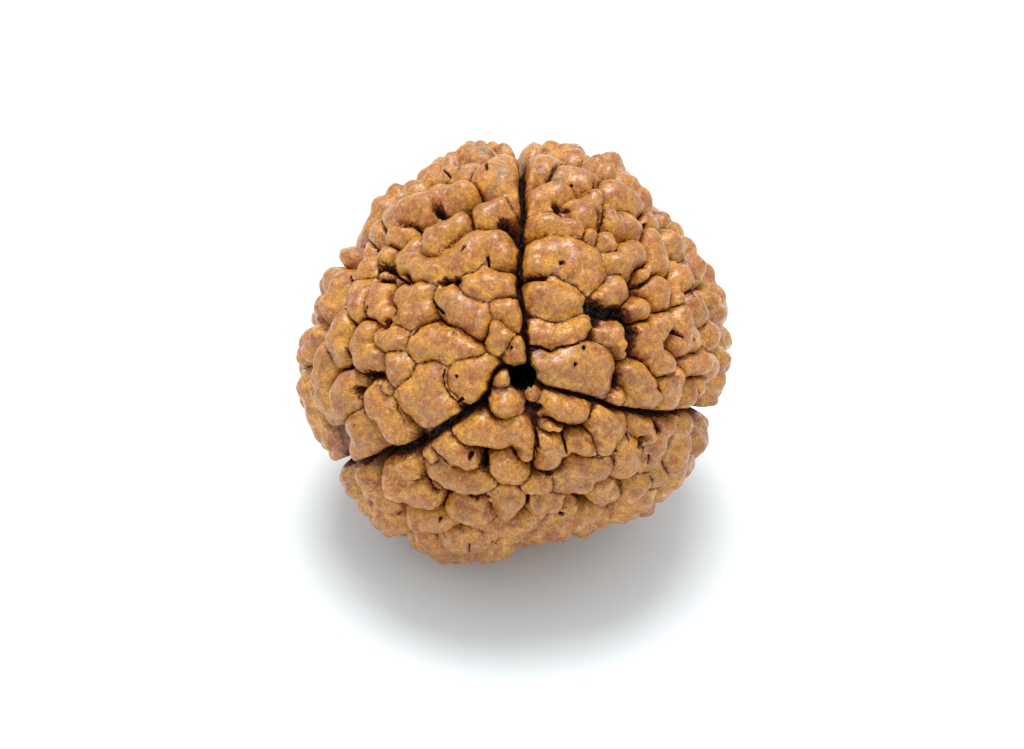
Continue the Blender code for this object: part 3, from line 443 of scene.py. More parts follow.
def noduleFields(points, lobe, humps):
    # the highest nodule over each point, 1 on a crown and 0 where nodules part, how far its parting from
    # the next one is, which nodule it is, how high on a knob of its own, and how proud the nodule stands
    places = np.array([place for place, *_ in humps])
    radii = np.array([radius for _, radius, *_ in humps])
    sunk = np.array([sink for _, _, sink, _, _ in humps]) / form["relief"]
    owner = np.array([nodule for *_, nodule, _ in humps])
    lobeOf = np.array([lobe for *_, lobe in humps])
    top, second, parting, knob, proud = (np.empty(len(points)) for _ in range(5))
    nodule = np.empty(len(points), int)
    blend, dome = form["blend"], form["dome"]
    patches = spreadDirections(90) * form["halfLength"]
    patchOf = np.argmax(points @ patches.T, axis=1)
    for patch, middle in enumerate(patches):
        some = np.flatnonzero(patchOf == patch)
        if len(some) == 0:
            continue
        close = np.isin(owner, owner[np.linalg.norm(places - middle, axis=1) - radii < 5.2])
        whose, nearPlaces, nearRadii = owner[close], places[close], radii[close]
        starts = np.flatnonzero(np.diff(whose, prepend=-1))
        ownerCount = np.diff(np.append(starts, len(whose)))
        ownerSize = np.add.reduceat(nearRadii, starts) / ownerCount
        ownerProud = np.add.reduceat(-sunk[close], starts) / ownerCount
        apart = ((points[some, None] - nearPlaces) ** 2).sum(axis=2) / nearRadii**2
        field = np.maximum(1 - sunk[close] - apart ** (dome / 2), -3)
        field = np.log(np.add.reduceat(np.exp(blend * field), starts, axis=1)) / blend
        field[lobeOf[close][starts][None] != lobe[some, None]] = -3
        order = np.argpartition(field, -2, axis=1)
        best, nextBest = order[:, -1], order[:, -2]
        rows = np.arange(len(field))
        top[some], second[some] = field[rows, best], field[rows, nextBest]
        steep = dome * np.clip(1 - top[some], 0.05, 2) ** 0.62
        steep *= 1 / ownerSize[best] + 1 / ownerSize[nextBest]
        parting[some] = (top[some] - second[some]) / steep
        nodule[some], proud[some] = whose[starts][best], ownerProud[best]
        bump = np.exp(6 * np.maximum(1 - apart / form["knobReach"] ** 2, -1.2))
        bump = np.add.reduceat(bump, starts, axis=1)[rows, best]
        knob[some] = np.log(bump + math.exp(6 * form["knobFoot"])) / 6
    return {"top": top, "parting": parting, "nodule": nodule, "knob": knob, "proud": np.maximum(proud, 0)}


def lineDistance(points, lines):
    # distance from the middle and from the edge of the nearest line; a line is (half, half, points)
    middle, edge = np.full(len(points), 99.0), np.full(len(points), 99.0)
    near = points[:, 2] > -2
    some = points[near]
    for halfStart, halfEnd, stations in lines:
        ends = [facingMouth(right, up) for right, up in stations]
        for i, (a, b) in enumerate(zip(ends, ends[1:])):
            along = np.clip((some - a) @ (b - a) / ((b - a) @ (b - a)), 0, 1)
            away = np.linalg.norm(some - a - along[:, None] * (b - a), axis=1)
            half = halfStart + (halfEnd - halfStart) * (i + along) / (len(ends) - 1)
            middle[near] = np.minimum(middle[near], away)
            edge[near] = np.minimum(edge[near], away - half)
    return middle, edge


def pinDistance(points):
    edge = np.full(len(points), 99.0)
    near = points[:, 2] > -2
    for right, up, radius in pinholes:
        away = np.linalg.norm(points[near] - facingMouth(right, up), axis=1)
        edge[near] = np.minimum(edge[near], away - radius)
    return edge


gapLines = [(half, half, stations) for stations, half in openGaps]


def creases(points, humps, courses):
    # the nearest crease's middle, and what makes it
    wander = np.stack([softNoise(points, 1.5, seed) for seed in (1, 2, 3)], axis=1)
    bent = points + skin["straying"] * wander
    lobe, across, furrow = lobesAndFurrows(bent, courses)
    furrow = furrow + skin["raggedFurrow"] * softNoise(points, 0.36, 12)
    known = noduleFields(bent, lobe, humps)
    slitMiddle, slit = lineDistance(points, slits)
    crease = np.minimum(np.minimum(known["parting"], across), slitMiddle)
    return known | {"bent": bent, "furrow": furrow, "slit": slit, "crease": crease}


def relief(points, humps, courses):
    # everything known about each point of the envelope, in mm: height over it, the nearest crease's middle,
    # the edges of the nearest furrow, gap, slit and pinhole, the crack's openness and the nodule
    known = creases(points, humps, courses)
    top, parting, furrow, slit = (known[name] for name in ("top", "parting", "furrow", "slit"))
    _, gap = lineDistance(known["bent"], gapLines)
    gap += skin["raggedGap"] * (softNoise(points, 0.5, 13) + softNoise(points, 0.26, 14))
    pin = pinDistance(points) + skin["raggedPin"] * softNoise(points, 0.24, 15)
    side = np.hypot(points[:, 0], points[:, 1])
    rim = np.clip((side - skin["rimFrom"]) / (skin["rimTo"] - skin["rimFrom"]), 0, 1)
    rim = rim * rim * (3 - 2 * rim)
    pitFloor, deep = form["pitFloor"], form["relief"] * (1 + skin["rimDeeper"] * rim)
    sunk = 1 - pitFloor - np.log1p(np.exp(8 * (top - pitFloor))) / 8
    lifted, sunk = np.maximum(-sunk, 0), np.maximum(sunk, 0)
    opened = skin["openLeast"] + skin["openRim"] * rim + skin["openPatches"] * softNoise(points, 2.3, 5)
    opened = np.clip(opened, 0, 1)
    crack, reach, drop = (skin[name][0] + opened * (skin[name][1] - skin[name][0])
                          for name in ("crackDepth", "crackReach", "shoulderDrop"))
    flat = skin["plateFlatness"] * (1 - rim) + skin["rimFlatness"] * rim
    flat = flat * (1 - np.minimum(4 * known["proud"], 0.75))
    held = skin["pressed"] + skin["pressedOpen"] * opened + skin["pressedRim"] * rim
    sunk = sunk / (1 + (sunk / held) ** 4) ** 0.25 + 1.4 * np.maximum(sunk - 0.9, 0)
    height = deep * (lifted - np.where(sunk < 1, (1 - flat) * sunk + flat * sunk**3, sunk))
    bearing, fall = bearingAndFall(points)
    height += roundTheStone(form["rimLumps"], bearing) * np.exp(-(((fall - 90) / form["rimLumpSpan"]) ** 2))
    height += skin["knobHeight"] * (np.minimum(known["knob"], 1.2) - 1)
    height -= drop * np.clip(1 - parting / skin["shoulderReach"], 0, 1) ** 2
    height -= crack * np.clip(1 - parting / reach, 0, 1) ** 1.2
    for edge, shoulder, floor, steep in (
            (furrow, skin["furrowShoulder"] * (1 + 0.3 * rim), skin["furrowFloor"], skin["furrowSteepness"]),
            (gap, skin["gapShoulder"], skin["gapFloor"], skin["gapSteepness"])):
        wall = 1 - np.clip(1 - edge / shoulder, 0, 1) ** form["dome"] + np.clip(edge * steep, floor, 0)
        height = np.where(edge < shoulder, np.minimum(height, deep * (wall - 1)), height)
    low = np.clip(-height / (1 + 0.5 * rim), 0, 2)
    upward = 0.25 + 0.75 * np.clip(points[:, 1] / np.maximum(side, 0.1), 0, 1)
    height -= skin["notch"] * upward * rim * np.exp(-(np.maximum(furrow, 0) / skin["notchReach"]) ** 2)
    mouthEdge = side - form["boreRadius"]
    lip = skin["lipDepth"] * np.clip(1 - mouthEdge / skin["lipReach"], 0, 1.5)
    height -= np.where(points[:, 2] > 0, lip, 0)
    height -= skin["slitDepth"] * np.clip(0.5 - slit / 0.06, 0, 1)
    height -= skin["pinDepth"] * np.clip(-pin / 0.12, -0.15, 1) * (pin < 0.02)
    calm = np.where(height > -deep, 1, skin["swellsInPits"])
    for swell, wavelength, seed in skin["swells"]:
        height += calm * swell * softNoise(points, wavelength, seed)
    return known | {"height": height, "low": low, "gap": gap, "pin": pin, "opened": opened,
                    "mouth": mouthEdge}


def icosphere():
    shape = bmesh.new()
    bmesh.ops.create_icosphere(shape, subdivisions=6, radius=1)
    shape.verts.index_update()
    points = np.array([vert.co[:] for vert in shape.verts])
    faces = np.array([[vert.index for vert in face.verts] for face in shape.faces])
    shape.free()
    return ontoEnvelope(points), faces


def wantedEdge(points, humps, courses):
    known = relief(points, humps, courses)
    opening = np.minimum(known["pin"], np.minimum(known["gap"], known["furrow"]))
    away = np.minimum(known["crease"], np.abs(opening))
    away = np.clip((away - skin["fineWithin"]) / (skin["broadBeyond"] - skin["fineWithin"]), 0, 1)
    edge = skin["fineEdge"] + away * (skin["broadEdge"] - skin["fineEdge"])
    edge = np.where(np.minimum(known["slit"], np.abs(known["pin"])) < 0.07, skin["slitEdge"], edge)
    edge = np.where((np.abs(known["mouth"]) < 0.25) & (points[:, 2] > 0), skin["slitEdge"], edge)
    far = np.clip((-1.2 - points[:, 2]) / 2.5, 0, 1)
    return edge * (1 + far * (skin["farCoarser"] - 1))


def allEdges(faces):
    pairs = np.sort(faces[:, [[0, 1], [1, 2], [2, 0]]], axis=2).reshape(-1, 2)
    edges, edgeOf = np.unique(pairs, axis=0, return_inverse=True)
    return edges, edgeOf.reshape(-1, 3)


def splitFaces(v, m, groups):
    # new triangles for each group of old ones, between their corners v and the middles m of their sides
    named = {"v": v, "m": m}
    return np.concatenate([np.stack([named[at[0]][group, int(at[1])] for at in corners.split()], 1)
                           for group, corners in groups])


def refined(points, faces, humps, courses):
    # splits the longest sides, pass by pass, until every side is as short as wantedEdge says
    while True:
        edges, edgeOf = allEdges(faces)
        a, b = points[edges[:, 0]], points[edges[:, 1]]
        length = np.linalg.norm(a - b, axis=1)
        split = length > 1.3 * skin["slitEdge"]
        split[split] = length[split] > 1.3 * wantedEdge(ontoEnvelope((a + b)[split] / 2), humps, courses)
        if not split.any():
            return points, faces
        longest = np.argmax(length[edgeOf], axis=1)
        longestEdge = edgeOf[np.arange(len(faces)), longest]
        while True:
            needed = split[edgeOf].any(axis=1) & ~split[longestEdge]
            if not needed.any():
                break
            split[longestEdge[needed]] = True
        middleOf = np.full(len(edges), -1)
        middleOf[split] = len(points) + np.arange(split.sum())
        points = np.concatenate([points, ontoEnvelope((a + b)[split] / 2)])
        turned = (longest[:, None] + np.arange(3)) % 3
        v = np.take_along_axis(faces, turned, 1)
        m = middleOf[np.take_along_axis(edgeOf, turned, 1)]
        halved = m[:, 0] >= 0
        second, third = halved & (m[:, 1] >= 0), halved & (m[:, 2] >= 0)
        faces = splitFaces(v, m, (
            (~halved, "v0 v1 v2"), (halved & ~third, "v0 m0 v2"), (third, "v0 m0 m2"), (third, "m2 m0 v2"),
            (halved & ~second, "m0 v1 v2"), (second, "m0 v1 m1"), (second, "m0 m1 v2")))
        stage(f"{len(faces)} triangles")


def crossings(points, edges, humps, courses):
    # sides whose ends are on different nodules, and how far along each the parting is
    nodule = creases(points, humps, courses)["nodule"]
    crossing = np.flatnonzero(nodule[edges[:, 0]] != nodule[edges[:, 1]])
    a, b = points[edges[crossing, 0]], points[edges[crossing, 1]]
    low, high = np.zeros(len(crossing)), np.ones(len(crossing))
    for _ in range(5):
        middle = (low + high) / 2
        there = creases(ontoEnvelope(a + middle[:, None] * (b - a)), humps, courses)["nodule"]
        same = there == nodule[edges[crossing, 0]]
        low, high = np.where(same, middle, low), np.where(same, high, middle)
    return crossing, (low + high) / 2


def foldedPoints(points, faces):
    a, b, c = (points[faces[:, i]] for i in range(3))
    facing = (np.cross(b - a, c - a) * (a + b + c)).sum(axis=1)
    sides = np.max([((p - q) ** 2).sum(axis=1) for p, q in ((a, b), (b, c), (c, a))], axis=0)
    return np.unique(faces[facing < 3.0 * sides])  # turned over, or too thin for its longest side


def cutAlongCreases(points, faces, humps, courses):
    # lays skin sides exactly along every parting: points close to it slide onto it, and sides that still
    # cross it are split there
    edges, _ = allEdges(faces)
    crossing, along = crossings(points, edges, humps, courses)
    a, b = edges[crossing, 0], edges[crossing, 1]
    place = ontoEnvelope(points[a] + along[:, None] * (points[b] - points[a]))
    nearer = np.where(along < 0.5, a, b)
    share = np.minimum(along, 1 - along)
    order = np.argsort(-share)
    order = order[share[order] < 0.32]
    before, onCrease = points.copy(), np.zeros(len(points), bool)
    points[nearer[order]] = place[order]
    onCrease[nearer[order]] = True
    for _ in range(20):
        folded = foldedPoints(points, faces)
        folded = folded[onCrease[folded]]
        if len(folded) == 0:
            break
        points[folded], onCrease[folded] = before[folded], False
    still = ~onCrease[a] & ~onCrease[b]
    edges, edgeOf = allEdges(faces)
    middleOf = np.full(len(edges), -1)
    middleOf[crossing[still]] = len(points) + np.arange(still.sum())
    points = np.concatenate([points, place[still]])
    m = middleOf[edgeOf]
    count = (m >= 0).sum(axis=1)
    # turned so that the first side is split in a face with one, and the last is whole in a face with two
    first = np.where(count == 2, (np.argmin(m, axis=1) + 1) % 3, 0)
    first = np.where(count == 1, np.argmax(m >= 0, axis=1), first)
    turned = (first[:, None] + np.arange(3)) % 3
    v, m = np.take_along_axis(faces, turned, 1), np.take_along_axis(m, turned, 1)
    none, one, two, three = (count == number for number in range(4))
    faces = splitFaces(v, m, (
        (none, "v0 v1 v2"), (one, "v0 m0 v2"), (one, "m0 v1 v2"), (two, "m0 v1 m1"), (two, "v0 m0 m1"),
        (two, "v0 m1 v2"), (three, "v0 m0 m2"), (three, "m0 v1 m1"), (three, "m1 v2 m2"),
        (three, "m0 m1 m2")))
    stage(f"{onCrease.sum()} points slid and {still.sum()} sides cut")
    return points, faces


courses = furrowCourses()
humps = facingNodules()
humps += farNodules(humps, courses)
stage(f"{len(humps)} humps on {humps[-1][3] + 1} nodules")
points, faces = refined(*icosphere(), humps, courses)
points, faces = cutAlongCreases(points, faces, humps, courses)
known = relief(points, humps, courses)
stage(f"skin of {len(faces)} triangles")


def leaning():
    up, along = math.cos(form["lean"]), math.sin(form["lean"])
    return np.array([[1, 0, 0], [0, up, -along], [0, along, up]])


def intoRoom(points):
    # from the stone's own frame in mm to the room's in metres
    return (points @ leaning().T + (0, 0, form["middleHeight"])) * 0.001


def outOfRoom(placed):
    return (placed * 1000 - (0, 0, form["middleHeight"])) @ leaning()


drill = {
    "sides": 132, "bottom": -13.5, "top": 12.5,
    "fineFrom": 9.8,  # rings lie closer from here up
    "roughness": 0.025, "waviness": 0.02,
    "splinters": 0.3, "splintersFrom": 10.6,
}


def boreCutter():
    # a rough-walled rod down the hole
    around = drill["sides"]
    heights = np.concatenate([np.linspace(drill["bottom"], drill["fineFrom"] - 0.3, 40),
                              np.linspace(drill["fineFrom"], drill["top"], 26)])
    rings = len(heights)
    angle = np.linspace(0, 2 * math.pi, around, endpoint=False)
    splintered = np.clip(0.35 - 0.9 * np.sin(angle), 0, 1)  # most on the lower side of the mouth
    grid = []
    for z in heights:
        wall = np.stack([np.cos(angle), np.sin(angle), np.full(around, z)], axis=1)
        rough = softNoise(wall * (0.75, 0.75, 1), 0.22, 31) * drill["roughness"]
        rough = rough + softNoise(wall, 0.6, 32) * drill["waviness"]
        teeth = np.maximum(softNoise(wall * (0.75, 0.75, 0.2), 0.11, 33), -0.1) * splintered
        rough = rough - drill["splinters"] * teeth * np.clip((z - drill["splintersFrom"]) / 0.5, 0, 1)
        grid.append(wall * np.stack([form["boreRadius"] + rough] * 2 + [np.ones(around)], axis=1))
    verts = np.concatenate(grid)
    quads = []
    for ring in range(rings - 1):
        for i in range(around):
            j = (i + 1) % around
            low = ring * around
            quads.append((low + i, low + j, low + around + j, low + around + i))
    ends = [tuple(range(around))[::-1], tuple((rings - 1) * around + i for i in range(around))]
    mesh = bpy.data.meshes.new("boreCutter")
    mesh.from_pydata(intoRoom(verts).tolist(), [], quads + ends)
    cutter = bpy.data.objects.new("boreCutter", mesh)
    bpy.context.scene.collection.objects.link(cutter)
    return cutter


def stoneObject():
    risen = intoRoom(points * (1 + known["height"] / np.linalg.norm(points, axis=1))[:, None])
    risen[:, 2] = np.maximum(risen[:, 2], 0)  # the flat that it rests on
    mesh = bpy.data.meshes.new("stone")
    mesh.from_pydata(risen.tolist(), [], faces.tolist())
    stone = bpy.data.objects.new("stone", mesh)
    bpy.context.scene.collection.objects.link(stone)
    cutter = boreCutter()
    bore = stone.modifiers.new("bore", "BOOLEAN")
    bore.operation = "DIFFERENCE"
    bore.object = cutter
    graph = bpy.context.evaluated_depsgraph_get()
    drilled = bpy.data.meshes.new_from_object(stone.evaluated_get(graph))
    stone.modifiers.clear()
    stone.data = drilled
    bpy.data.objects.remove(cutter, do_unlink=True)
    bpy.data.meshes.remove(mesh)
    shape = bmesh.new()
    shape.from_mesh(drilled)
    bmesh.ops.dissolve_degenerate(shape, dist=2e-6, edges=shape.edges)
    bmesh.ops.triangulate(shape, faces=[face for face in shape.faces if len(face.verts) > 3])
    shape.to_mesh(drilled)
    shape.free()
    drilled.validate()  # drops the few doubled faces that drilling leaves
    drilled.shade_smooth()
    return stone


stone = stoneObject()
stage(f"drilled, {len(stone.data.polygons)} faces")


def addValues(mesh):
    # what the stone's material reads at each point of the skin
    placed = np.empty(len(mesh.vertices) * 3)
    mesh.vertices.foreach_get("co", placed)
    known = relief(ontoEnvelope(outOfRoom(placed.reshape(-1, 3))), humps, courses)
    tones = np.random.default_rng(41).uniform(0, 1, 2000)  # one for each nodule
    opened = known["opened"]
    # Lines along cracks, slits and pinholes, painted dark as shade.
    crackShadeLine = np.clip(1 - known["parting"] / (0.06 + 0.07 * opened), 0, 1) * (0.65 + 0.35 * opened)
    crackShadeLine = np.maximum(crackShadeLine, np.clip(0.6 - known["slit"] / 0.07, 0, 1))
    crackShadeLine = np.maximum(crackShadeLine, np.clip(0.4 - known["pin"] / 0.08, 0, 1))
    # The skin beside cracks, slits and pinholes, painted darker as shade.
    crackShade = np.minimum(np.minimum(known["parting"], known["slit"] + 0.05), known["pin"] + 0.05)
    crackShade = np.clip(1 - crackShade / 0.25, 0, 1)
    # Furrows and open gaps, painted maroon to near black: their dark fibrous floors and painted shade.
    pitFibreAndShade = np.maximum(np.clip(0.6 - known["furrow"] / 0.22, 0, 1), np.clip(0.65 - known["gap"] / 0.3, 0, 1))
    values = {"crackLineShade": crackShadeLine, "crackHaloShade": crackShade, "pitFibreAndShadeMask": pitFibreAndShade, "lowness": known["low"],
              "tone": tones[known["nodule"] % len(tones)]}
    for name, value in values.items():
        attribute = mesh.attributes.new(name, "FLOAT", "POINT")
        attribute.data.foreach_set("value", value.astype(np.float32))


addValues(stone.data)


class Weave:
    # a short way to lay out a material's nodes
    def __init__(self, name):
        self.material = bpy.data.materials.new(name)
        self.material.use_nodes = True
        self.tree = self.material.node_tree
        self.shader = self.tree.nodes["Principled BSDF"]

    def add(self, kind, **settings):
        node = self.tree.nodes.new(kind)
        for name, value in settings.items():
            setattr(node, name, value)
        return node

    def feed(self, node, **inputs):
        for name, value in inputs.items():
            numbered = name[0] == "i" and name[1:].isdigit()
            socket = node.inputs[int(name[1:]) if numbered else name]
            if isinstance(value, bpy.types.NodeSocket):
                self.tree.links.new(value, socket)
            else:
                socket.default_value = value
        return node

    def attribute(self, name):
        return self.add("ShaderNodeAttribute", attribute_name=name).outputs["Fac"]

    def noise(self, vector, scale, detail=3.0, roughness=0.5, distortion=0.0):
        node = self.add("ShaderNodeTexNoise")
        self.feed(node, Vector=vector, Scale=scale, Detail=detail, Roughness=roughness,
                  Distortion=distortion)
        return node.outputs["Fac"]

    def remap(self, value, low, high, newLow=0.0, newHigh=1.0, smooth=True):
        node = self.add("ShaderNodeMapRange", interpolation_type="SMOOTHSTEP" if smooth else "LINEAR")
        self.feed(node, i0=value, i1=low, i2=high, i3=newLow, i4=newHigh)
        return node.outputs["Result"]

    def math(self, operation, a, b=0.0, clamp=False):
        node = self.add("ShaderNodeMath", operation=operation, use_clamp=clamp)
        self.feed(node, i0=a, i1=b)
        return node.outputs[0]

    def gap(self, a, b):
        return self.feed(self.add("ShaderNodeVectorMath", operation="DISTANCE"), i0=a, i1=b).outputs["Value"]

    def mix(self, share, a, b, blend="MIX"):
        node = self.add("ShaderNodeMix", data_type="RGBA", blend_type=blend)
        self.feed(node, i0=share, i6=a, i7=b)
        return node.outputs[2]

    def over(self, under, value, low, high, colour, strength=1.0):
        # lays a colour over another where a value is high
        return self.mix(self.remap(value, low, high, 0, strength), under, colour)

    def bump(self, height, distance, **more):
        return self.feed(self.add("ShaderNodeBump"), Strength=0.9, Distance=distance, Height=height,
                         **more).outputs[0]

    def ramp(self, value, stops):
        node = self.add("ShaderNodeValToRGB")
        bar = node.color_ramp
        while len(bar.elements) < len(stops):
            bar.elements.new(0.5)
        for element, (place, colour) in zip(bar.elements, stops):
            element.position, element.color = place, colour
        self.tree.links.new(value, node.inputs[0])
        return node.outputs[0]


def tint(red, green, blue):
    # a screen colour, 0 to 255, as the linear light that shaders take
    def linear(part):
        part /= 255
        return part / 12.92 if part <= 0.04045 else ((part + 0.055) / 1.055) ** 2.4
    return (linear(red), linear(green), linear(blue), 1.0)


ochre = {
    "crown": tint(182, 116, 42), "yellow": tint(208, 142, 22), "tan": tint(188, 119, 28),
    "rust": tint(160, 82, 26), "mauve": tint(164, 98, 42), "freckle": tint(118, 64, 26),
    "pale": tint(214, 160, 76),
    # The maroon, crack and pit tones are painted shade in the hollows, cracks, furrows, gaps and the hole;
    # the fibre tone is the furrows' own grey fibres.
    "maroon": tint(92, 38, 20), "crack": tint(40, 18, 12), "pitFibreAndShade": tint(26, 19, 17),
    "fibre": tint(100, 90, 80),
    "boreLip": tint(104, 82, 34), "splinter": tint(196, 160, 96),
    "roughness": (0.28, 0.56), "wax": 0.75, "waxRoughness": 0.22, "waxIor": 1.6,
}

# Small marks on the skin that faces the mouth: (right, up, radius) in mm.
marks = [
    {"tint": tint(96, 92, 74), "strength": 0.75, "flecks": (0.44, 0.54),
     "spots": [(-1.8, 11.3, .4), (-.95, 10.4, .35), (-1.6, 9.5, .4), (2.05, 10.1, .5)]},
    {"tint": tint(44, 48, 92), "strength": 0.9, "flecks": (0.46, 0.52),
     "spots": [(.6, 1.42, .2), (.9, 1.32, .24), (1.12, 1.2, .16)]},
    {"tint": tint(120, 48, 22), "strength": 0.8, "flecks": (0.3, 0.5),
     "spots": [(5.9, 3.1, .6), (3.6, 2.1, .4), (1.15, -8.65, .5), (1.2, 10.6, .35)]},
]


def ochreMaterial():
    w = Weave("stoneOchre")
    coords = w.add("ShaderNodeTexCoord").outputs["Object"]
    inMm = w.feed(w.add("ShaderNodeMapping"), Vector=coords, Scale=(1000, 1000, 1000)).outputs[0]
    lean, middle = form["lean"], form["middleHeight"]
    own = w.feed(w.add("ShaderNodeMapping"), Vector=inMm, Rotation=(-lean, 0, 0),
                 Location=(0, -math.sin(lean) * middle, -math.cos(lean) * middle)).outputs[0]
    broad = w.noise(inMm, 0.45, 3, 0.55)
    patch = w.noise(inMm, 1.2, 7, 0.68, 0.6)
    blotch = w.noise(inMm, 2.6, 6, 0.7, 0.4)
    grain = w.noise(inMm, 12.0, 4, 0.75)
    colour = w.ramp(w.math("ADD", w.math("MULTIPLY", patch, 0.65), w.math("MULTIPLY", broad, 0.35)), [
        (0.41, ochre["rust"]), (0.47, ochre["tan"]), (0.53, ochre["yellow"]), (0.59, ochre["tan"])])
    low = w.attribute("lowness")
    crownward = w.remap(w.math("ADD", low, w.math("MULTIPLY", blotch, 0.4)), 0.18, 0.5, 0.8, 0)
    colour = w.mix(crownward, colour, w.mix(w.remap(broad, 0.45, 0.58), ochre["crown"], ochre["mauve"]))
    stain = w.noise(inMm, 0.9, 7, 0.7, 0.4)
    colour = w.over(colour, stain, 0.50, 0.64, ochre["rust"], 0.85)
    colour = w.over(colour, blotch, 0.54, 0.70, ochre["freckle"], 0.6)
    colour = w.mix(w.remap(blotch, 0.32, 0.47, 0.75, 0), colour, ochre["pale"])
    toned = w.remap(w.attribute("tone"), 0, 1, 0.92, 1.07, smooth=False)
    grainy = w.remap(grain, 0.34, 0.66, 0.62, 1.34, smooth=False)
    wrinkled = w.remap(w.noise(inMm, 2.4, 6, 0.72, 1.2), 0.38, 0.62, 0.74, 1.2)
    # Darker beside cracks, slits and pinholes: painted shade.
    crackShade = w.attribute("crackHaloShade")
    crackShaded = w.remap(crackShade, 0.1, 1.0, 1.0, 0.8)
    shade = w.math("MULTIPLY", w.math("MULTIPLY", toned, grainy), w.math("MULTIPLY", wrinkled, crackShaded))
    shaded = w.add("ShaderNodeVectorMath", operation="SCALE")
    w.feed(shaded, i0=colour)
    w.tree.links.new(shade, shaded.inputs["Scale"])
    colour = shaded.outputs[0]
    speck = w.remap(w.noise(inMm, 4.0, 4, 0.65), 0.3, 0.7, -0.25, 0.25)
    # Deep hollows: painted shade, maroon and then near black deepest down.
    deep = w.math("ADD", low, speck)
    # Maroon beside cracks, slits and pinholes: painted shade.
    fringeShade = w.math("ADD", crackShade, w.math("MULTIPLY", speck, 1.6))
    # Along cracks, slits and pinholes: painted shade, maroon to near black.
    crackShadeLine = w.math("ADD", w.attribute("crackLineShade"), speck)
    # Furrows and open gaps: their dark fibrous floors, with painted shade over them.
    pitFibreAndShade = w.math("ADD", w.attribute("pitFibreAndShadeMask"), w.math("MULTIPLY", speck, 0.9))
    strands = w.feed(w.add("ShaderNodeMapping"), Vector=inMm, Scale=(7, 7, 2.2)).outputs[0]
    fibresInShade = w.over(ochre["pitFibreAndShade"], w.noise(strands, 1.0, 5, 0.75, 1.0), 0.5, 0.64, ochre["fibre"], 0.75)
    # These masks lay painted shade over the skin's colour.
    for value, low, high, darker, strength in (
            (deep, 0.4, 1.05, ochre["maroon"], 0.9), (deep, 1.0, 1.35, ochre["pitFibreAndShade"], 0.9),
            (fringeShade, 0.55, 1.15, ochre["maroon"], 0.8), (crackShadeLine, 0.26, 0.58, ochre["maroon"], 1),
            (crackShadeLine, 0.5, 0.9, ochre["crack"], 1), (pitFibreAndShade, 0.24, 0.56, ochre["maroon"], 1),
            (pitFibreAndShade, 0.54, 0.82, fibresInShade, 1)):
        colour = w.over(colour, value, low, high, darker, strength)
    upAxis, outAxis = (w.feed(w.add("ShaderNodeSeparateXYZ"), Vector=own).outputs[i] for i in (1, 2))
    across = w.feed(w.add("ShaderNodeMapping"), Vector=own, Scale=(1, 1, 0)).outputs[0]
    offAxis = w.math("ADD", w.gap(across, (0, 0, 0)), w.math("MULTIPLY", speck, 0.2))
    offAxis = w.math("SUBTRACT", offAxis, w.remap(upAxis, 0.0, 0.6, 0, 0.1))
    onWall = w.remap(offAxis, 0.77, 0.84, 1, 0)
    lip = w.mix(w.remap(upAxis, -0.2, 0.25), ochre["splinter"], ochre["boreLip"])
    colour = w.mix(w.math("MULTIPLY", onWall, 0.85), colour, lip)
    # Deeper into the hole the wall is painted near black: painted shade.
    boreShade = w.math("MULTIPLY", onWall, w.remap(outAxis, 10.9, 11.2, 1, 0))
    colour = w.mix(boreShade, colour, ochre["pitFibreAndShade"])
    facing = w.remap(outAxis, 0, 1)
    flecks = w.noise(inMm, 9.0, 4, 0.7)
    for mark in marks:
        for right, up, radius in mark["spots"]:
            away = w.math("ADD", w.gap(across, (right, up, 0)), w.math("MULTIPLY", speck, 2 * radius))
            share = w.math("MULTIPLY", w.remap(away, 0.4 * radius, radius, mark["strength"], 0), facing)
            share = w.math("MULTIPLY", share, w.remap(flecks, *mark["flecks"]))
            colour = w.mix(share, colour, mark["tint"])
    sheen = w.noise(inMm, 2.2, 5, 0.65)
    broken = w.remap(w.noise(inMm, 7.0, 4, 0.7), 0.42, 0.58, 0.15, 1)
    rough = w.remap(sheen, 0.35, 0.65, *ochre["roughness"])
    dull = w.math("MAXIMUM", w.math("MAXIMUM", crackShadeLine, pitFibreAndShade), onWall)
    rough = w.math("ADD", rough, w.math("MULTIPLY", dull, 0.45), clamp=True)
    shine = w.math("SUBTRACT", 1.0, w.remap(dull, 0.2, 0.8))
    waxy = w.math("MULTIPLY", w.remap(sheen, 0.42, 0.62, ochre["wax"], 0.2), broken)
    swell = w.noise(inMm, 5.0, 5, 0.65)
    grit = w.noise(inMm, 22.0, 3, 0.6)
    leathery = w.bump(grit, 0.000009, Normal=w.bump(swell, 0.00004))
    filmy = w.bump(w.math("ADD", swell, w.math("MULTIPLY", grit, 0.3)), 0.000016)
    w.feed(w.shader, **{"Base Color": colour, "Roughness": rough, "Normal": leathery, "Coat Normal": filmy,
                        "Specular IOR Level": w.math("MULTIPLY", shine, 0.55),
                        "Coat Weight": w.math("MULTIPLY", shine, waxy),
                        "Coat Roughness": ochre["waxRoughness"], "Coat IOR": ochre["waxIor"]})
    return w.material


stone.data.materials.clear()
stone.data.materials.append(ochreMaterial())
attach(stone, "root")
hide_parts("seed")
stage("stone dressed")


room = {
    "floorSize": 3.0, "floorTint": (0.855, 0.875, 0.875), "floorRoughness": 0.75, "floorShine": 0.2,
    "worldLight": 1.0, "worldTint": (0.86, 0.95, 1.0),
    "lampTint": (0.97, 0.98, 1.0), "lampPower": 4.7,  # watts
    "lampSize": 0.4, "lampPlace": (-0.02, 0.14, 0.75),  # metres
}


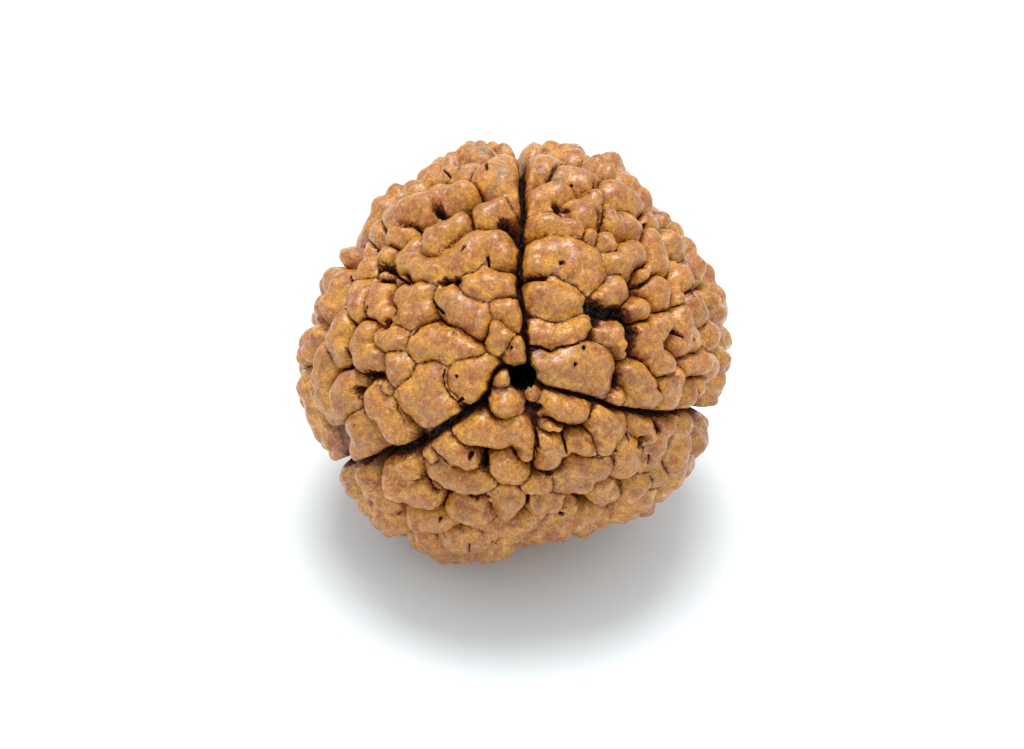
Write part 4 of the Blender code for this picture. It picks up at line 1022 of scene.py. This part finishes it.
def paleFloor():
    half = room["floorSize"] / 2
    mesh = bpy.data.meshes.new("floor")
    corners = [(-half, -half, 0), (half, -half, 0), (half, half, 0), (-half, half, 0)]
    mesh.from_pydata(corners, [], [(0, 1, 2, 3)])
    floor = bpy.data.objects.new("floor", mesh)
    bpy.context.scene.collection.objects.link(floor)
    w = Weave("paleFloor")
    w.feed(w.shader, **{"Base Color": (*room["floorTint"], 1), "Roughness": room["floorRoughness"],
                        "Specular IOR Level": room["floorShine"]})
    mesh.materials.append(w.material)


def softLight():
    lamp = bpy.data.lights.new("softbox", "AREA")
    lamp.shape = "DISK"
    lamp.size = room["lampSize"]
    lamp.energy = room["lampPower"]
    lamp.color = room["lampTint"]
    softbox = bpy.data.objects.new("softbox", lamp)
    softbox.location = room["lampPlace"]
    softbox.rotation_euler = softbox.location.to_track_quat("Z", "Y").to_euler()
    bpy.context.scene.collection.objects.link(softbox)
    world = bpy.data.worlds.new("paleRoom")
    world.use_nodes = True
    world.node_tree.nodes["Background"].inputs[0].default_value = (*room["worldTint"], 1)
    world.node_tree.nodes["Background"].inputs[1].default_value = room["worldLight"]
    bpy.context.scene.world = world


view = {"elevation": 42.96, "azimuth": -3.17, "roll": 2.16, "distance": 0.252, "lens": 159.5,
        "aimRight": -0.000139, "aimUp": -0.001278}


def photoCamera():
    up, aside = math.radians(view["elevation"]), math.radians(view["azimuth"])
    outward = np.array([math.sin(aside) * math.cos(up), -math.cos(aside) * math.cos(up), math.sin(up)])
    right = np.array([math.cos(aside), math.sin(aside), 0])
    upward = np.cross(outward, right)
    roll = math.radians(view["roll"])
    right, upward = (math.cos(roll) * right + math.sin(roll) * upward,
                     math.cos(roll) * upward - math.sin(roll) * right)
    middle = np.array([0, 0, form["middleHeight"] * 0.001])
    aim = middle + view["aimRight"] * right + view["aimUp"] * upward
    lens = bpy.data.cameras.new("photoCamera")
    lens.lens, lens.sensor_width = view["lens"], 36
    lens.clip_start, lens.clip_end = 0.01, 10
    camera = bpy.data.objects.new("photoCamera", lens)
    camera.location = aim + view["distance"] * outward
    matrix = np.stack([right, upward, outward], axis=1)
    camera.rotation_euler = Matrix(matrix.tolist()).to_euler()
    bpy.context.scene.collection.objects.link(camera)
    bpy.context.scene.camera = camera


paleFloor()
softLight()
photoCamera()
bpy.context.scene.view_settings.view_transform = "Standard"
stage("room")
